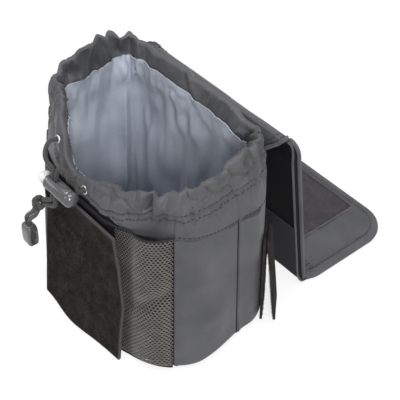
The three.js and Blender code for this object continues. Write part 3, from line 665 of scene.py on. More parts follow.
def addCords():
    lockEntry, lockLeave = cordSetup["lockEntry"], cordSetup["lockLeave"]
    endTop = cordEndPlace + (0, 0, beadSetup["height"] / 2)
    reach = float(np.linalg.norm(endTop - knotPlace))
    stop = cordSetup["knotRadius"] + cordSetup["knotGap"]
    for side, sign in (("left", -1), ("right", 1)):
        half = sign * cordSetup["spacing"] / 2
        turnAt = lockLeave + cordSetup["spacing"] / 2 + half
        run = [exitPlace(cordSetup[side + "Exit"], d) for d in cordSetup["exitDepths"]]
        run += [lockPlace + np.array(p) for p in cordSetup[side + "Route"]]
        run += [throughLock(sign, d) for d in (lockEntry, 0, lockLeave - 2.5, turnAt)]
        run += [besideLine(throughLock(0, lockLeave), stop, sign)]
        line = curveThrough(run, 160)
        addCord(side + "Cord", line, side + "_cord")
        lifts = (1.5 * cordSetup["diameter"] - half / 3.5, -0.6)
        tail = [besideLine(endTop, d, sign) for d in (stop, reach / 2)] + [endTop + (half, 0, lift) for lift in lifts]
        tail = curveThrough(tail, 60)
        addCord(side + "CordTail", tail, side + "_cord_tail")


addCords()
print("cords laid")

# knot of the two cords: wraps of the same braid round a tight heart
knotSetup = {
    "wraps": 3, "coil": 3.5, "spread": 5.0, "cord": 1.55,
    "over": (  # along, across and out from the middle
        (-4.6, -1.8, 0.4), (-3.2, -2.4, -3.6), (0, 0.4, -4.9), (3.2, 2.6, -3.6), (4.4, 1.8, 0.2),
    ),
}


def addKnot():
    way = cordEndPlace - knotPlace
    way = way / np.linalg.norm(way)
    across = np.cross(way, (0, 1, 0))
    across /= np.linalg.norm(across)
    out = np.cross(across, way)
    t = np.linspace(0, 1, 150)
    angle = 2 * np.pi * knotSetup["wraps"] * t
    coil = knotSetup["coil"] * (0.92 + 0.08 * np.cos(2 * angle))
    wind = knotPlace + np.outer(knotSetup["spread"] * (t - 0.5) + 0.9 * np.sin(angle), way)
    wind = wind + np.outer(coil * np.cos(angle), across) + np.outer(coil * np.sin(angle), out)
    first = tube("cordKnot", wind, knotSetup["cord"], 16, "cord", braid)
    dress(first, "pouch", "cord", "cord_knot")
    over = [knotPlace + way * a + across * b + out * c for a, b, c in knotSetup["over"]]
    second = tube("cordKnotOver", curveThrough(over, 60), knotSetup["cord"], 16, "cord", braid)
    dress(second, "pouch", "cord")


addKnot()

# padded panels between the upright seams
panelSetup = {
    "crown": 1.6, "welt": 4.2, "weltRise": 0.7, "groove": 0.7, "dent": 2.9, "dentSize": 30.0, "thickness": 4.2,
    "fill": 0.4, "step": 1.8, "bottom": 0.7, "top": 116.0, "seamCord": 0.34, "seamDepth": 0.35,
}
tabBearing = math.radians(44.0)  # of the right belt tabs, turned from the right towards the back
tabFoot = np.array((cornerX, cornerY)) + body["backCorner"] * np.array((math.cos(tabBearing), math.sin(tabBearing)))
tabArc = float(planArcs[np.argmin(np.linalg.norm(planPoints - tabFoot, axis=1))])


def panelDepth(arc, z, start, end, seed, weltAtStart, weltAtEnd):
    s = panelSetup
    if start < 0 < end:  # the front lies flat behind the net
        return leanAt(z) + 0.5 + 0.4 * softNoise(arc, z, s["dentSize"], seed)
    inside = np.minimum(arc - start, end - arc)
    crown = s["crown"] * np.clip(inside / 16, 0, 1) ** 0.6 * (0.55 + 0.45 * np.sin(np.pi * np.clip(z / 122, 0, 1)))
    crown = crown * smoothStep(z, -2, 14)
    groove = s["groove"] * np.exp(-(inside / 0.8) ** 2)
    dents = s["dent"] * softNoise(arc, z, s["dentSize"], seed) + 0.55 * softNoise(arc + 0.4 * z, z, 14.0, seed + 1)
    dents = dents * smoothStep(inside, 2, 14) * smoothStep(z, 4, 22)
    drags = 0.5 * softNoise(arc, z * 0.22, 7.5, seed + 2) * smoothStep(z, 70, 112) * smoothStep(inside, 1, 8)
    welt = 0
    for wanted, gap in ((weltAtStart, arc - start), (weltAtEnd, end - arc)):
        if wanted:
            welt = welt + s["weltRise"] * smoothStep(gap, 0.2, 1.0) * (1 - smoothStep(gap, s["welt"] - 0.8, s["welt"]))
    under = 1 - smoothStep(np.abs(np.abs(arcOff(arc, 0)) - tabArc), 9, 17)  # held flat under the belt tab
    return leanAt(z) + groove - welt - (crown + dents + drags) * (1 - under)


def addPanel(name, nodes, start, end, seed, weltAtStart, weltAtEnd, finish="nylon"):
    s = panelSetup
    arcs = np.linspace(start, end, int((end - start) / s["step"]) + 1)
    for seamArc, wanted in ((start, weltAtStart), (end, weltAtEnd)):
        if wanted:
            sign = 1 if seamArc == start else -1
            extra = seamArc + sign * np.array([0.3, 0.6, 1.0, 1.5, s["welt"] - 0.8, s["welt"] - 0.4, s["welt"]])
            arcs = np.union1d(arcs, extra)
    zs = np.concatenate([s["bottom"] + 5.3 * np.linspace(0, 1, 7) ** 1.3, np.linspace(7.5, s["top"], 60)])
    a, z = np.meshgrid(arcs, zs)
    z = z + (seamTop(a) - s["top"]) * smoothStep(z, 80, s["top"])
    grid = wallAt(a, panelDepth(a, z, start, end, seed, weltAtStart, weltAtEnd), z)
    back = wallAt(a, leanAt(z) + s["thickness"], z)
    piece = shell(name, grid, None, np.stack([a, z], -1) * mm, finish, back=back)
    dress(piece, "pouch", "nylon", *nodes)


def addPanels():
    f, r, b = body["frontSeam"], body["rearSeam"], body["backSeam"]
    # the front panel gets the near-black finish as painted shade that shows through the net's holes
    addPanel("frontPanel", ("front_panel", "front_foam"), -f, f, 11, False, False, "nylonBlackAndPaintedShade")
    addPanel("rightSidePanel", ("right_side_panel", "right_foam"), f, r, 12, True, False)
    addPanel("rightRearGusset", ("right_rear_gusset",), r, b, 13, True, False)
    addPanel("backPanel", ("back_panel", "back_foam"), b, girth - b, 14, False, False)
    addPanel("leftRearGusset", ("left_rear_gusset",), girth - b, girth - r, 15, False, True)
    addPanel("leftSidePanel", ("left_side_panel", "left_foam"), girth - r, girth - f, 16, False, True)
    for label, arc in (("front", f), ("rear", r), ("back", b)):  # dark cord of the seam, down in its groove
        for side, sign in (("Right", 1), ("Left", -1)):
            z = np.linspace(2.5, float(seamTop(arc)) - 0.5, 60)
            line = wallAt(np.full_like(z, sign * arc), leanAt(z) + panelSetup["seamDepth"], z)
            cord = tube(label + "Seam" + side, line, panelSetup["seamCord"], 8, "nylonBlackAndPaintedShade")
            dress(cord, "pouch", "nylon")


addPanels()
print("panels made")

# base and inside floor: discs that follow the plan, slightly quilted
discSetup = {
    "basePanel": {
        "nodes": ("base_panel", "base_foam"), "finish": "nylon", "level": 0.0, "inset": 3.4, "thickness": 4.4,
        "swell": 0.0, "up": False,
    },
    "floorLining": {
        "nodes": ("base_lining",), "finish": "lining", "level": 5.4, "inset": 8.6, "thickness": 0.7,
        "swell": 0.6, "up": True,
    },
}


def addDisc(name):
    s = discSetup[name]
    level, swell, down = s["level"], s["swell"], (0, 0, s["thickness"])
    arcs = np.linspace(0, girth, 180, endpoint=False)
    shares = np.array([1.0, 0.985, 0.95, 0.88, 0.75, 0.55, 0.35, 0.15, 0.0])
    edge = wallAt(arcs, s["inset"], level)
    rings = []
    for share in shares:
        ring = edge * (share, share, 1)
        x, y = ring[:, 0], ring[:, 1]
        pillow = swell * (1 - share ** 6) + 0.3 * swell * softNoise(x, y, 26.0, 21)
        ring[:, 2] = level + (pillow if s["up"] else 0)
        rings.append(ring)
    grid = np.array(rings)
    other = grid - down if s["up"] else grid * (0.95, 0.95, 1) + down
    piece = shell(name, grid, None, grid[..., :2] * mm, s["finish"], ring=True, back=other)
    work = bmesh.new()
    work.from_mesh(piece.data)
    bmesh.ops.remove_doubles(work, verts=work.verts, dist=1e-6)  # the middle closes to a point
    work.to_mesh(piece.data)
    work.free()
    return dress(piece, "pouch", s["finish"], *s["nodes"])


basePad = addDisc("basePanel")
addDisc("floorLining")

# drawstring collar: one gathered sheet, folded over the cord and sewn down inside
collarSetup = {
    "fold": 2.6, "thickness": 0.55, "columns": 760, "faceRows": 28, "hemDepth": 6.8, "seam": 0.9, "pucker": 1.3,
    "crease": 2.1, "gather": 1.3, "sink": 4.2, "rimLine": (  # place round the girth, height of the rim
        (0, 131.5), (12, 136.5), (24, 140.5), (36, 143), (48, 149), (54, 152.5), (60, 149.5), (66, 151.5),
        (74, 155.5), (84, 159.5), (96, 162.3), (106, 162.3), (114, 160.8), (122, 163), (130, 161.8), (138, 165),
        (145, 169), (152, 171), (158, 167.5), (164, 171.5), (171, 167), (178, 170), (186, 165.5), (196, 166.8),
        (206, 168.5), (216, 172.5), (226, 174), (246, 173.3), (262, 174), (280, 172.8), (300, 171.2), (312, 171),
        (322, 172.5), (331, 175.5), (337, 171), (343, 177), (349, 174), (355, 179), (366, 178), (380, 175.7),
        (392, 173), (402, 170.5), (414, 167.5), (428, 165.5), (440, 163), (452, 157.5), (459, 152), (466, 143.5),
        (472, 133), (478, 126.5), (484, 125.5), (492, 127.3), (499, 129.5),
    ),
    "pleats": (  # place, width, push outwards, slant
        (331, 5.0, 4.5, 0.1), (338, 4.0, -5.0, 0.0), (345, 4.5, 5.0, -0.1), (350.5, 3.5, -5.5, 0.05),
        (356, 5.0, 4.0, 0.15), (364, 5.0, -3.0, 0.2), (374, 6.0, 2.4, 0.3), (383, 5.0, -4.0, 0.35),
        (392, 7.0, 2.6, 0.2), (402, 5.0, -3.5, 0.1), (412, 6.0, 2.5, -0.1), (421, 5.0, -3.5, -0.2),
        (432, 7.0, 2.0, 0.0), (-33, 5.0, 1.2, 0.0), (-18, 5.0, 1.2, 0.0), (12, 6.0, 1.8, 0.2),
        (24, 5.0, -2.2, 0.0), (35, 7.0, 2.0, -0.2), (52, 5.0, 2.6, 0.1), (61, 4.0, -6.5, 0.0),
        (69, 6.0, 3.0, 0.25), (78, 5.0, -2.4, 0.1), (88, 6.0, 2.2, 0.0), (99, 5.0, -2.8, -0.1),
        (108, 6.0, 2.4, 0.1), (119, 5.0, -2.2, 0.0), (128, 7.0, 1.8, 0.1), (140, 5.0, -2.4, 0.1),
        (148, 6.0, 2.8, 0.2), (156, 4.5, -4.5, 0.15), (163, 5.0, 4.2, 0.1), (170, 4.0, -5.0, 0.0),
        (177, 5.0, 4.0, -0.1), (185, 4.5, -4.5, -0.15), (193, 6.0, 2.6, -0.1), (204, 6.0, -1.6, 0.0),
        (220, 9.0, 0.8, 0.0), (238, 8.0, 0.7, 0.2), (259, 4.5, -2.8, 0.7), (267, 6.0, 1.8, 0.7),
        (285, 9.0, 0.8, 0.0), (300, 7.0, -1.5, 0.0), (312, 6.0, 2.2, 0.1), (321, 5.0, -3.5, 0.1),
    ),
    "hollows": (  # place, drop below the rim, width, height, push outwards
        (338, 15, 5.5, 7.0, 6.5), (386, 13, 7.0, 6.0, 5.0), (404, 16, 6.0, 8.0, 4.0), (365, 20, 5.0, 8.0, 3.5),
        (150, 8, 4.0, 6.0, -4.0), (164, 11, 3.5, 8.0, -3.5), (62, 9, 5.0, 5.0, -3.0), (110, 12, 7.0, 6.0, -1.8),
        (24, 10, 6.0, 5.0, -2.0), (92, 9, 4.0, 6.0, -2.2), (130, 11, 5.0, 6.0, -2.2), (178, 9, 4.0, 7.0, -3.0),
    ),
}


def smoothRim():  # soft closed line through the rim's points
    place, height = zip(*collarSetup["rimLine"])
    samples = np.linspace(0, girth, 1024, endpoint=False)
    raw = np.interp(samples, place, height, period=girth)
    waves = np.fft.rfftfreq(1024, girth / 1024)
    return samples, np.fft.irfft(np.fft.rfft(raw) * np.exp(-2 * (np.pi * waves * 1.8) ** 2), 1024)


rimSamples, rimHeights = smoothRim()


def collarRim(arc):
    bob = 0.5 * softNoise(arc, 0 * arc, girth / 44, 33, period=44)
    bob = bob + 0.4 * softNoise(arc, 0 * arc, girth / 90, 34, period=90)
    return np.interp(arc, rimSamples, rimHeights, period=girth) + bob * (1 - 0.6 * hump(arc, 250, 45))


def hemOf(arc):
    level = rimAt(arc) - body["casing"] + 2 - 3.5 * hump(arc, 62, 34) + 5 * smoothStep(np.abs(arcOff(arc, 0)), 150, 200)
    return np.clip(level, 119.5, 151.0)


def uprightSeam(arc):  # seams that run on from the panels up to the casing
    seam = 0
    for place, welted in ((body["frontSeam"], True), (body["rearSeam"], True), (body["backSeam"], False)):
        for side in (1, -1):
            off = arcOff(arc, side * place) * side
            seam = seam + collarSetup["seam"] * np.exp(-(off / 0.9) ** 2)
            if welted:
                seam = seam - 0.5 * smoothStep(off, 0.4, 1.2) * (1 - smoothStep(off, 3.4, 4.2))
    return seam


def collarPush(arc, z, rim):  # outward push of the gathers
    up = np.clip((z - 120) / np.maximum(rim - 120, 8), 0, 1.1)
    calm = 1 - 0.9 * np.maximum(hump(arc, cordSetup["leftExit"], 8), hump(arc, cordSetup["rightExit"], 8))
    push = 0
    for place, width, height, slant in collarSetup["pleats"]:
        off = arcOff(arc + slant * (rim - z), place) / width
        push = push + height * (np.exp(-np.abs(off) ** 1.35) - 0.3 * np.exp(-(off / 2.2) ** 2))
    push = collarSetup["gather"] * push * up ** 1.5 * (1 - 0.35 * smoothStep(up, 0.82, 1.02))
    for place, drop, width, tall, height in collarSetup["hollows"]:
        push = push + height * hump(arc, place, width) * np.exp(-((rim - z - drop) / tall) ** 2)
    wave = 0.9 * softNoise(arc, z * 0.35, girth / 42, 31, period=42) * up
    fine = 0.6 * softNoise(arc + 0.3 * z, z * 0.5, girth / 96, 32, period=96) * smoothStep(up, 0.15, 0.6)
    line = np.abs(softNoise(arc + 0.25 * z, z * 0.55, girth / 50, 37, period=50))
    crease = collarSetup["crease"] * np.maximum(0, 1 - 4.4 * line) ** 2 * smoothStep(up, 0.1, 0.5)
    line = np.abs(softNoise(arc - 0.5 * z, z * 0.8, girth / 84, 38, period=84))
    crease = crease + 0.45 * collarSetup["crease"] * np.maximum(0, 1 - 3.6 * line) ** 2 * smoothStep(up, 0.2, 0.5)
    return (push + (wave + fine - crease) * (1 - 0.5 * hump(arc, 250, 45))) * calm


def collarLean(arc, z):  # drawn in on the left, spread out at the left rear corner
    drawn = 4.0 * smoothStep(arcOff(arc, 0), -98, -80) * (1 - smoothStep(arcOff(arc, 0), -62, -50))
    drawn = drawn + 2.5 * hump(arc, 166, 16) + 2.5 * hump(arc, 403, 10)
    spread = 5.0 * hump(arc, 346, 22)
    return (drawn - spread) * np.clip((z - 118) / 48, 0, 1)


def pucker(arc, z, hem):  # short wrinkles across the casing's two stitch rows
    near = np.exp(-((z - hem + 2) / 6.0) ** 2)
    return collarSetup["pucker"] * near * softNoise(arc, z * 0.12, girth / 130, 35, period=130)


def collarGrid():
    s = collarSetup
    arcs = np.linspace(0, girth, s["columns"], endpoint=False)
    rim = collarRim(arcs)
    hem, bottom = hemOf(arcs), seamTop(arcs) - 0.1
    fold = s["fold"]
    top = rim - fold
    rows = []
    for t in np.linspace(0, 1, 13)[:-1]:
        z = bottom + (hem - bottom) * t
        row = np.exp(-((z - hem + 4.6) / 0.8) ** 2) + np.exp(-((z - bottom - 1.8) / 0.8) ** 2)
        slack = 0.8 * softNoise(arcs, z, girth / 22, 36, period=22) * math.sin(math.pi * t)
        slack = slack - s["sink"] * hump(arcs, 66, 13) * (1 - t) ** 0.8  # hollow behind the pocket's edge
        rows.append((z, leanAt(z) - 0.6 * math.sin(math.pi * t) - slack + 0.45 * row + uprightSeam(arcs)))
    for t in np.linspace(0, 1, s["faceRows"] - 12):
        z = hem + (top - hem) * t
        rows.append((z, leanAt(z) + 0.7 * np.exp(-((z - hem) / 0.9) ** 2) - 1.5 * math.sin(math.pi * t) ** 0.8))
    for turn in np.linspace(0, np.pi, 8)[1:-1]:
        z = top + fold * math.sin(turn)
        rows.append((z, leanAt(z) + fold * (1 - math.cos(turn))))
    inner = 2 * fold
    for t in np.linspace(0, 1, 13):
        z = top + (hem - top) * t
        rows.append((z, leanAt(z) + inner + (s["hemDepth"] - inner) * t + 1.2 * math.sin(math.pi * t)))
    out = []
    for z, depth in rows:
        push = collarPush(arcs, z, rim) + pucker(arcs, z, hem)
        out.append(wallAt(arcs, depth - push + collarLean(arcs, z), z))
    grid = np.array(out)
    run = np.concatenate([[np.zeros(len(arcs))], np.cumsum(np.linalg.norm(np.diff(grid, axis=0), axis=-1), 0)])
    uv = np.stack([np.broadcast_to(arcs, run.shape), run], -1) * mm
    return arcs, grid, uv, run


def onCollar(grid, level, proud):  # line on the collar's outer face, one height for each column
    count = collarSetup["faceRows"]
    face = grid[:count]
    lifted = face + gridNormals(grid, True)[:count] * proud
    return np.array([[np.interp(h, face[:, c, 2], lifted[:, c, k]) for k in range(3)] for c, h in enumerate(level)])


def addCollar():
    arcs, grid, uv, run = collarGrid()
    piece = shell("drawstringCollar", grid, collarSetup["thickness"], uv, "nylon", ring=True, sharp=80)
    dress(piece, "pouch", "nylon", "collar")
    hem = hemOf(arcs)
    rows = [onCollar(grid, level, 0.1) for level in (hem + 0.6, hem - 4.6)]
    low = onCollar(grid, seamTop(arcs) + 1.7, 0.1)
    behind = np.abs(arcOff(arcs, 0)) > body["frontSeam"] + 1  # in front the pocket covers this row
    return [np.concatenate([row, row[:1]]) for row in rows] + [low[behind]]


# cord inside the casing follows the gathers
def addDrawcord():
    arcs = np.linspace(cordSetup["rightExit"] + 3.5, girth + cordSetup["leftExit"] - 3.5, 400)
    rim = collarRim(arcs)
    z = np.minimum(rimAt(arcs), rim) - cordSetup["drop"]
    line = wallAt(arcs, leanAt(z) + 3.0 - collarPush(arcs, z, rim) + collarLean(arcs, z), z)
    piece = tube("drawcordRun", line, cordSetup["diameter"] / 2, 10, "cord")
    dress(piece, "pouch", "cord", "drawcord")


addDrawcord()
collarRows = addCollar()
print("collar gathered")

# lining: loose sheet down the inside, sewn under the casing
liningSetup = {
    "depth": 5.2, "folds": 6.2, "thickness": 0.5, "seams": (174.0, 331.0, 83.0, -83.0), "tuck": 8.0, "over": 3.1,
    "bottom": 5.0, "columns": 420, "rows": 60,
    "extra": (  # place round the girth, rise above the hem
        (0, 0), (170, 0), (200, 3), (220, 7), (260, 9), (300, 8), (326, 9), (365, 9), (395, 8), (425, 4), (445, 0),
    ),
}


def addLining():
    s = liningSetup
    arcs = np.linspace(0, girth, s["columns"], endpoint=False)
    rim, hem = collarRim(arcs), hemOf(arcs)
    place, extra = zip(*s["extra"])
    top = hem + 2.5 + np.interp(arcs, place, extra)
    seam = sum(1.6 * hump(arcs, arc - 4, 2.6) - 0.5 * hump(arcs, arc, 1.3) for arc in s["seams"])
    rows = []
    for t in np.linspace(0, 1, s["rows"]):
        z = s["bottom"] + (top - s["bottom"]) * t
        fold = 0.5 + 0.9 * softNoise(arcs, z * 0.1, girth / 30, 41, period=30)
        fold = fold + 0.4 * softNoise(arcs, z * 0.3, girth / 64, 42, period=64)
        free = smoothStep(t, 0.02, 0.3)  # held at the floor
        slack = s["folds"] * np.maximum(fold, 0) * free * (1 - smoothStep(t, 0.78, 0.97))
        slack = slack + s["tuck"] * hump(arcs + 14 * t, 348, 7) * free * (1 - smoothStep(t, 0.6, 0.92))
        follow = collarPush(arcs, z, rim) * smoothStep(z, 122, 142) + pucker(arcs, z, hem)
        over = s["over"] * smoothStep(z, hem - 18, hem)
        depth = leanAt(z) + s["depth"] + 0.4 * t + over + slack - follow + collarLean(arcs, z) + seam
        rows.append(wallAt(arcs, depth, z))
    grid = np.array(rows)
    uv = np.stack([np.broadcast_to(arcs, grid.shape[:2]), grid[..., 2]], -1) * mm
    back = grid + gridNormals(grid, True) * s["thickness"]
    piece = shell("wallLining", grid, None, uv, "lining", ring=True, back=back, sharp=80)
    dress(piece, "pouch", "lining", "wall_lining")


addLining()
print("lining hung")

# eyelets: rolled rims
eyeletSetup = {"bore": 2.0, "flange": 3.6, "height": 1.1}


def addEyelets():
    s = eyeletSetup
    for side in ("left", "right"):
        arc = cordSetup[side + "Exit"]
        middle, half = (s["bore"] + s["flange"]) / 2, (s["flange"] - s["bore"]) / 2
        profile = [(middle + half * math.cos(a), 0.3 + s["height"] * math.sin(a)) for a in np.linspace(0, np.pi, 9)]
        profile += [(s["bore"] + 0.3, -0.6), (s["bore"] + 1.2, -0.6), (s["flange"] - 0.3, 0.0), profile[0]]
        piece = turned(side + "Eyelet", profile, exitPlace(arc, 0), exitNormal(arc), 40, "nickel")
        dress(piece, "pouch", "nickel", side + "_eyelet")


addEyelets()

# cord lock: barrel across the front, dome cap, pale plunger
lockSetup = {
    "radius": 5.8, "length": 24.0, "bore": 4.4, "cap": 6.0, "shoulder": 1.6, "stem": 4.0, "headGap": 4.3, "head": 4.0,
    "headRadius": 4.9, "slot": (8.5, 4.4), "plungerSlot": (12.5, 4.4), "sides": 56,
    "springTurns": 5, "springWire": 0.35, "springKeep": 0.5,
}


def keepEvaluated(piece):  # modifiers become a plain mesh
    bpy.context.view_layer.update()
    graph = bpy.context.evaluated_depsgraph_get()
    mesh = bpy.data.meshes.new_from_object(piece.evaluated_get(graph), preserve_all_data_layers=True, depsgraph=graph)
    piece.modifiers.clear()
    piece.data = mesh


def cutSlot(piece, size, x):  # opening for both cords, turned to their run
    data = bpy.data.meshes.new("slotCutter")
    half = np.array((size[0] / 2, size[1] / 2, 12.0))
    corners = half * [(i, j, k) for i in (-1, 1) for j in (-1, 1) for k in (-1, 1)]
    c, s = math.cos(-cordLean), math.sin(-cordLean)
    spin = np.array([[1, 0, 0], [0, c, -s], [0, s, c]])
    points = (corners @ spin.T + (x, lockPlace[1], lockPlace[2])) * mm
    sides = [(0, 1, 3, 2), (4, 6, 7, 5), (0, 4, 5, 1), (2, 3, 7, 6), (0, 2, 6, 4), (1, 5, 7, 3)]
    data.from_pydata(points.tolist(), [], sides)
    cutter = bpy.data.objects.new("slotCutter", data)
    scene.collection.objects.link(cutter)
    cut = piece.modifiers.new("slot", "BOOLEAN")
    cut.operation, cut.solver, cut.object = "DIFFERENCE", "EXACT", cutter
    keepEvaluated(piece)
    bpy.data.objects.remove(cutter)
    piece.data.set_sharp_from_angle(angle=math.radians(40))


def addLock():
    s = lockSetup
    start = lockPlace - (s["length"] / 2, 0, 0)
    along, sides = (1, 0, 0), s["sides"]
    r, b, n, shoulder = s["radius"], s["bore"], s["length"], s["shoulder"]
    outer = [(r - 0.5, 0), (r, 0.5), (r, 1.6), (r - 0.35, 2.0), (r - 0.35, 2.8), (r, 3.2), (r, n - 1.0), (r - 0.4, n)]
    barrel = turned("lockBarrel", [(b, 0), *outer, (b, n), (b, 0)], start, along, sides, "moulding")
    cutSlot(barrel, s["slot"], cordSetup["cordX"])
    dress(barrel, "cord_lock", "moulding", "cord_lock_barrel")
    bend = np.linspace(0, np.pi / 2 - 0.06, 10)
    dome = [(r * math.cos(a), shoulder + (s["cap"] - shoulder) * math.sin(a)) for a in bend]
    cap = turned("lockCap", [(r - 0.6, 0), (r, 0.4), *dome], start + (n + 0.3, 0, 0), along, sides, "moulding")
    dress(cap, "cord_lock", "moulding", "cord_lock_cap")
    top, head, stem = -s["headGap"], s["headRadius"], s["stem"]
    bend = np.linspace(0.06, np.pi / 2, 10)
    crown = [(head * math.sin(a), top - shoulder - (s["head"] - shoulder) * math.cos(a)) for a in bend]
    stemEnd = cordSetup["cordX"] + s["slot"][0] / 2 + 4.0 - start[0]
    profile = [*crown, (head, top - 0.4), (head - 0.4, top), (stem, top), (stem, stemEnd - 0.4), (stem - 0.4, stemEnd)]
    plunger = turned("lockPlunger", profile, start, along, sides, "paleMoulding")
    cutSlot(plunger, s["plungerSlot"], cordSetup["cordX"] - 2.0)
    dress(plunger, "lock_plunger", "pale_moulding", "cord_lock_plunger")
    low, high = (np.array(corner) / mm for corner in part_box("cord_lock_spring"))
    gauge = s["springWire"]
    t = np.linspace(0, 1, 160)
    turn = 2 * np.pi * s["springTurns"] * t
    coil = (high[2] - low[2]) / 2 - gauge
    centre = lockPlace[1:]
    line = np.column_stack([low[0] + gauge + (high[0] - low[0] - 2 * gauge) * t,
                            centre[0] + coil * np.cos(turn), centre[1] + coil * np.sin(turn)])
    spring = tube("lockSpring", line, gauge, 10, "nickel")
    dress(spring, "cord_lock", "nickel", "cord_lock_spring")
    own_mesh(spring)


addLock()
print("lock made")


# node trees that repeat small things along lines and over faces
def geometryTree(name, inputs):
    tree = bpy.data.node_groups.new(name, "GeometryNodeTree")
    tree.interface.new_socket("Geometry", in_out="INPUT", socket_type=shapeSocket)
    sockets = {}
    for label, kind in (*inputs, ("Finish", finishSocket)):
        sockets[label] = tree.interface.new_socket(label, in_out="INPUT", socket_type=kind).identifier
    tree.interface.new_socket("Geometry", in_out="OUTPUT", socket_type=shapeSocket)
    return tree, addNode(tree, "NodeGroupInput"), addNode(tree, "NodeGroupOutput"), sockets


def finishTree(tree, given, out, last, output):
    real = addNode(tree, "GeometryNodeRealizeInstances")
    paint = addNode(tree, "GeometryNodeSetMaterial")
    wire(tree, (last, output, real, "Geometry"), (real, "Geometry", paint, "Geometry"),
         (given, "Finish", paint, "Material"), (paint, "Geometry", out, "Geometry"))


def thinRing(tree, given, sides):  # section of a fibre that is scaled by its height later
    ring = fill(addNode(tree, "GeometryNodeCurvePrimitiveCircle", mode="RADIUS"), Resolution=sides)
    thin = mathNode(tree, "DIVIDE", given.outputs["Fibre"], given.outputs["Height"])
    tree.links.new(thin, ring.inputs["Radius"])
    return ring


def buildStitches():  # thread dashes along every line of the mesh
    tree, given, out, sockets = geometryTree(
        "stitchRows", [("Pitch", floatSocket), ("Length", floatSocket), ("Thread", floatSocket)])
    toCurve = addNode(tree, "GeometryNodeMeshToCurve")
    even = addNode(tree, "GeometryNodeResampleCurve", mode="LENGTH")
    dash = fill(addNode(tree, "GeometryNodeMeshUVSphere"), Segments=6, Rings=4, Radius=0.5)
    tangent = addNode(tree, "GeometryNodeInputTangent")
    turn = addNode(tree, "FunctionNodeAlignRotationToVector", axis="Z")
    size = addNode(tree, "ShaderNodeCombineXYZ")
    place = addNode(tree, "GeometryNodeInstanceOnPoints")
    wire(tree, (given, "Geometry", toCurve, "Mesh"), (toCurve, "Curve", even, "Curve"),
         (given, "Pitch", even, "Length"), (tangent, "Tangent", turn, "Vector"), (given, "Thread", size, "X"),
         (given, "Thread", size, "Y"), (given, "Length", size, "Z"), (even, "Curve", place, "Points"),
         (dash, "Mesh", place, "Instance"), (turn, "Rotation", place, "Rotation"), (size, "Vector", place, "Scale"))
    finishTree(tree, given, out, place, "Instances")
    return tree, sockets


def buildPile():  # small bent loops all over a face
    tree, given, out, sockets = geometryTree(
        "pileLoops", [("Density", floatSocket), ("Height", floatSocket), ("Fibre", floatSocket), ("Seed", countSocket)])
    scatter = addNode(tree, "GeometryNodeDistributePointsOnFaces", distribute_method="RANDOM")
    arc = addNode(tree, "GeometryNodeCurveArc", mode="RADIUS")
    fill(arc, Resolution=5, Radius=1.0, Start_Angle=-0.5, Sweep_Angle=4.1)
    ring = thinRing(tree, given, 3)
    fibre = fill(addNode(tree, "GeometryNodeCurveToMesh"), Fill_Caps=True)
    stand = fill(addNode(tree, "GeometryNodeTransform"), Rotation=(math.pi / 2, 0, 0))
    spin = addNode(tree, "FunctionNodeRandomValue", data_type="FLOAT_VECTOR")
    spin.inputs[0].default_value, spin.inputs[1].default_value = (-0.7, -0.7, -3.14), (0.7, 0.7, 3.14)
    euler = addNode(tree, "FunctionNodeEulerToRotation")
    turn = addNode(tree, "FunctionNodeRotateRotation", rotation_space="LOCAL")
    size = addNode(tree, "FunctionNodeRandomValue", data_type="FLOAT")
    size.inputs[2].default_value, size.inputs[3].default_value = 0.6, 1.3
    place = addNode(tree, "GeometryNodeInstanceOnPoints")
    tree.links.new(mathNode(tree, "MULTIPLY", size.outputs[1], given.outputs["Height"]), place.inputs["Scale"])
    wire(tree, (given, "Geometry", scatter, "Mesh"), (given, "Density", scatter, "Density"),
         (given, "Seed", scatter, "Seed"), (given, "Seed", spin, "Seed"), (given, "Seed", size, "Seed"),
         (arc, "Curve", fibre, "Curve"), (ring, "Curve", fibre, "Profile Curve"), (fibre, "Mesh", stand, "Geometry"),
         (spin, 0, euler, "Euler"), (scatter, "Rotation", turn, "Rotation"), (euler, "Rotation", turn, "Rotate By"),
         (scatter, "Points", place, "Points"), (stand, "Geometry", place, "Instance"),
         (turn, "Rotation", place, "Rotation"))
    finishTree(tree, given, out, place, "Instances")
    return tree, sockets


def buildHooks():  # one bent hook on every point of the mesh
    tree, given, out, sockets = geometryTree(
        "hookRows", [("Height", floatSocket), ("Fibre", floatSocket), ("Seed", countSocket)])
    arc = addNode(tree, "GeometryNodeCurveQuadraticBezier")
    fill(arc, Resolution=4, Start=(0, 0, -0.2), Middle=(0.05, 0, 1.7), End=(0.75, 0, 0.55))
    ring = thinRing(tree, given, 4)
    hook = fill(addNode(tree, "GeometryNodeCurveToMesh"), Fill_Caps=True)
    normal = addNode(tree, "GeometryNodeInputNormal")
    turn = addNode(tree, "FunctionNodeAlignRotationToVector", axis="Z")
    flip = addNode(tree, "FunctionNodeRandomValue", data_type="FLOAT_VECTOR")
    flip.inputs[0].default_value, flip.inputs[1].default_value = (-0.15, -0.15, -0.5), (0.15, 0.15, 3.6)
    euler = addNode(tree, "FunctionNodeEulerToRotation")
    sway = addNode(tree, "FunctionNodeRotateRotation", rotation_space="LOCAL")
    place = addNode(tree, "GeometryNodeInstanceOnPoints")
    wire(tree, (arc, "Curve", hook, "Curve"), (ring, "Curve", hook, "Profile Curve"),
         (normal, "Normal", turn, "Vector"), (given, "Seed", flip, "Seed"), (flip, 0, euler, "Euler"),
         (turn, "Rotation", sway, "Rotation"), (euler, "Rotation", sway, "Rotate By"),
         (given, "Geometry", place, "Points"), (hook, "Mesh", place, "Instance"),
         (sway, "Rotation", place, "Rotation"), (given, "Height", place, "Scale"))
    finishTree(tree, given, out, place, "Instances")
    return tree, sockets


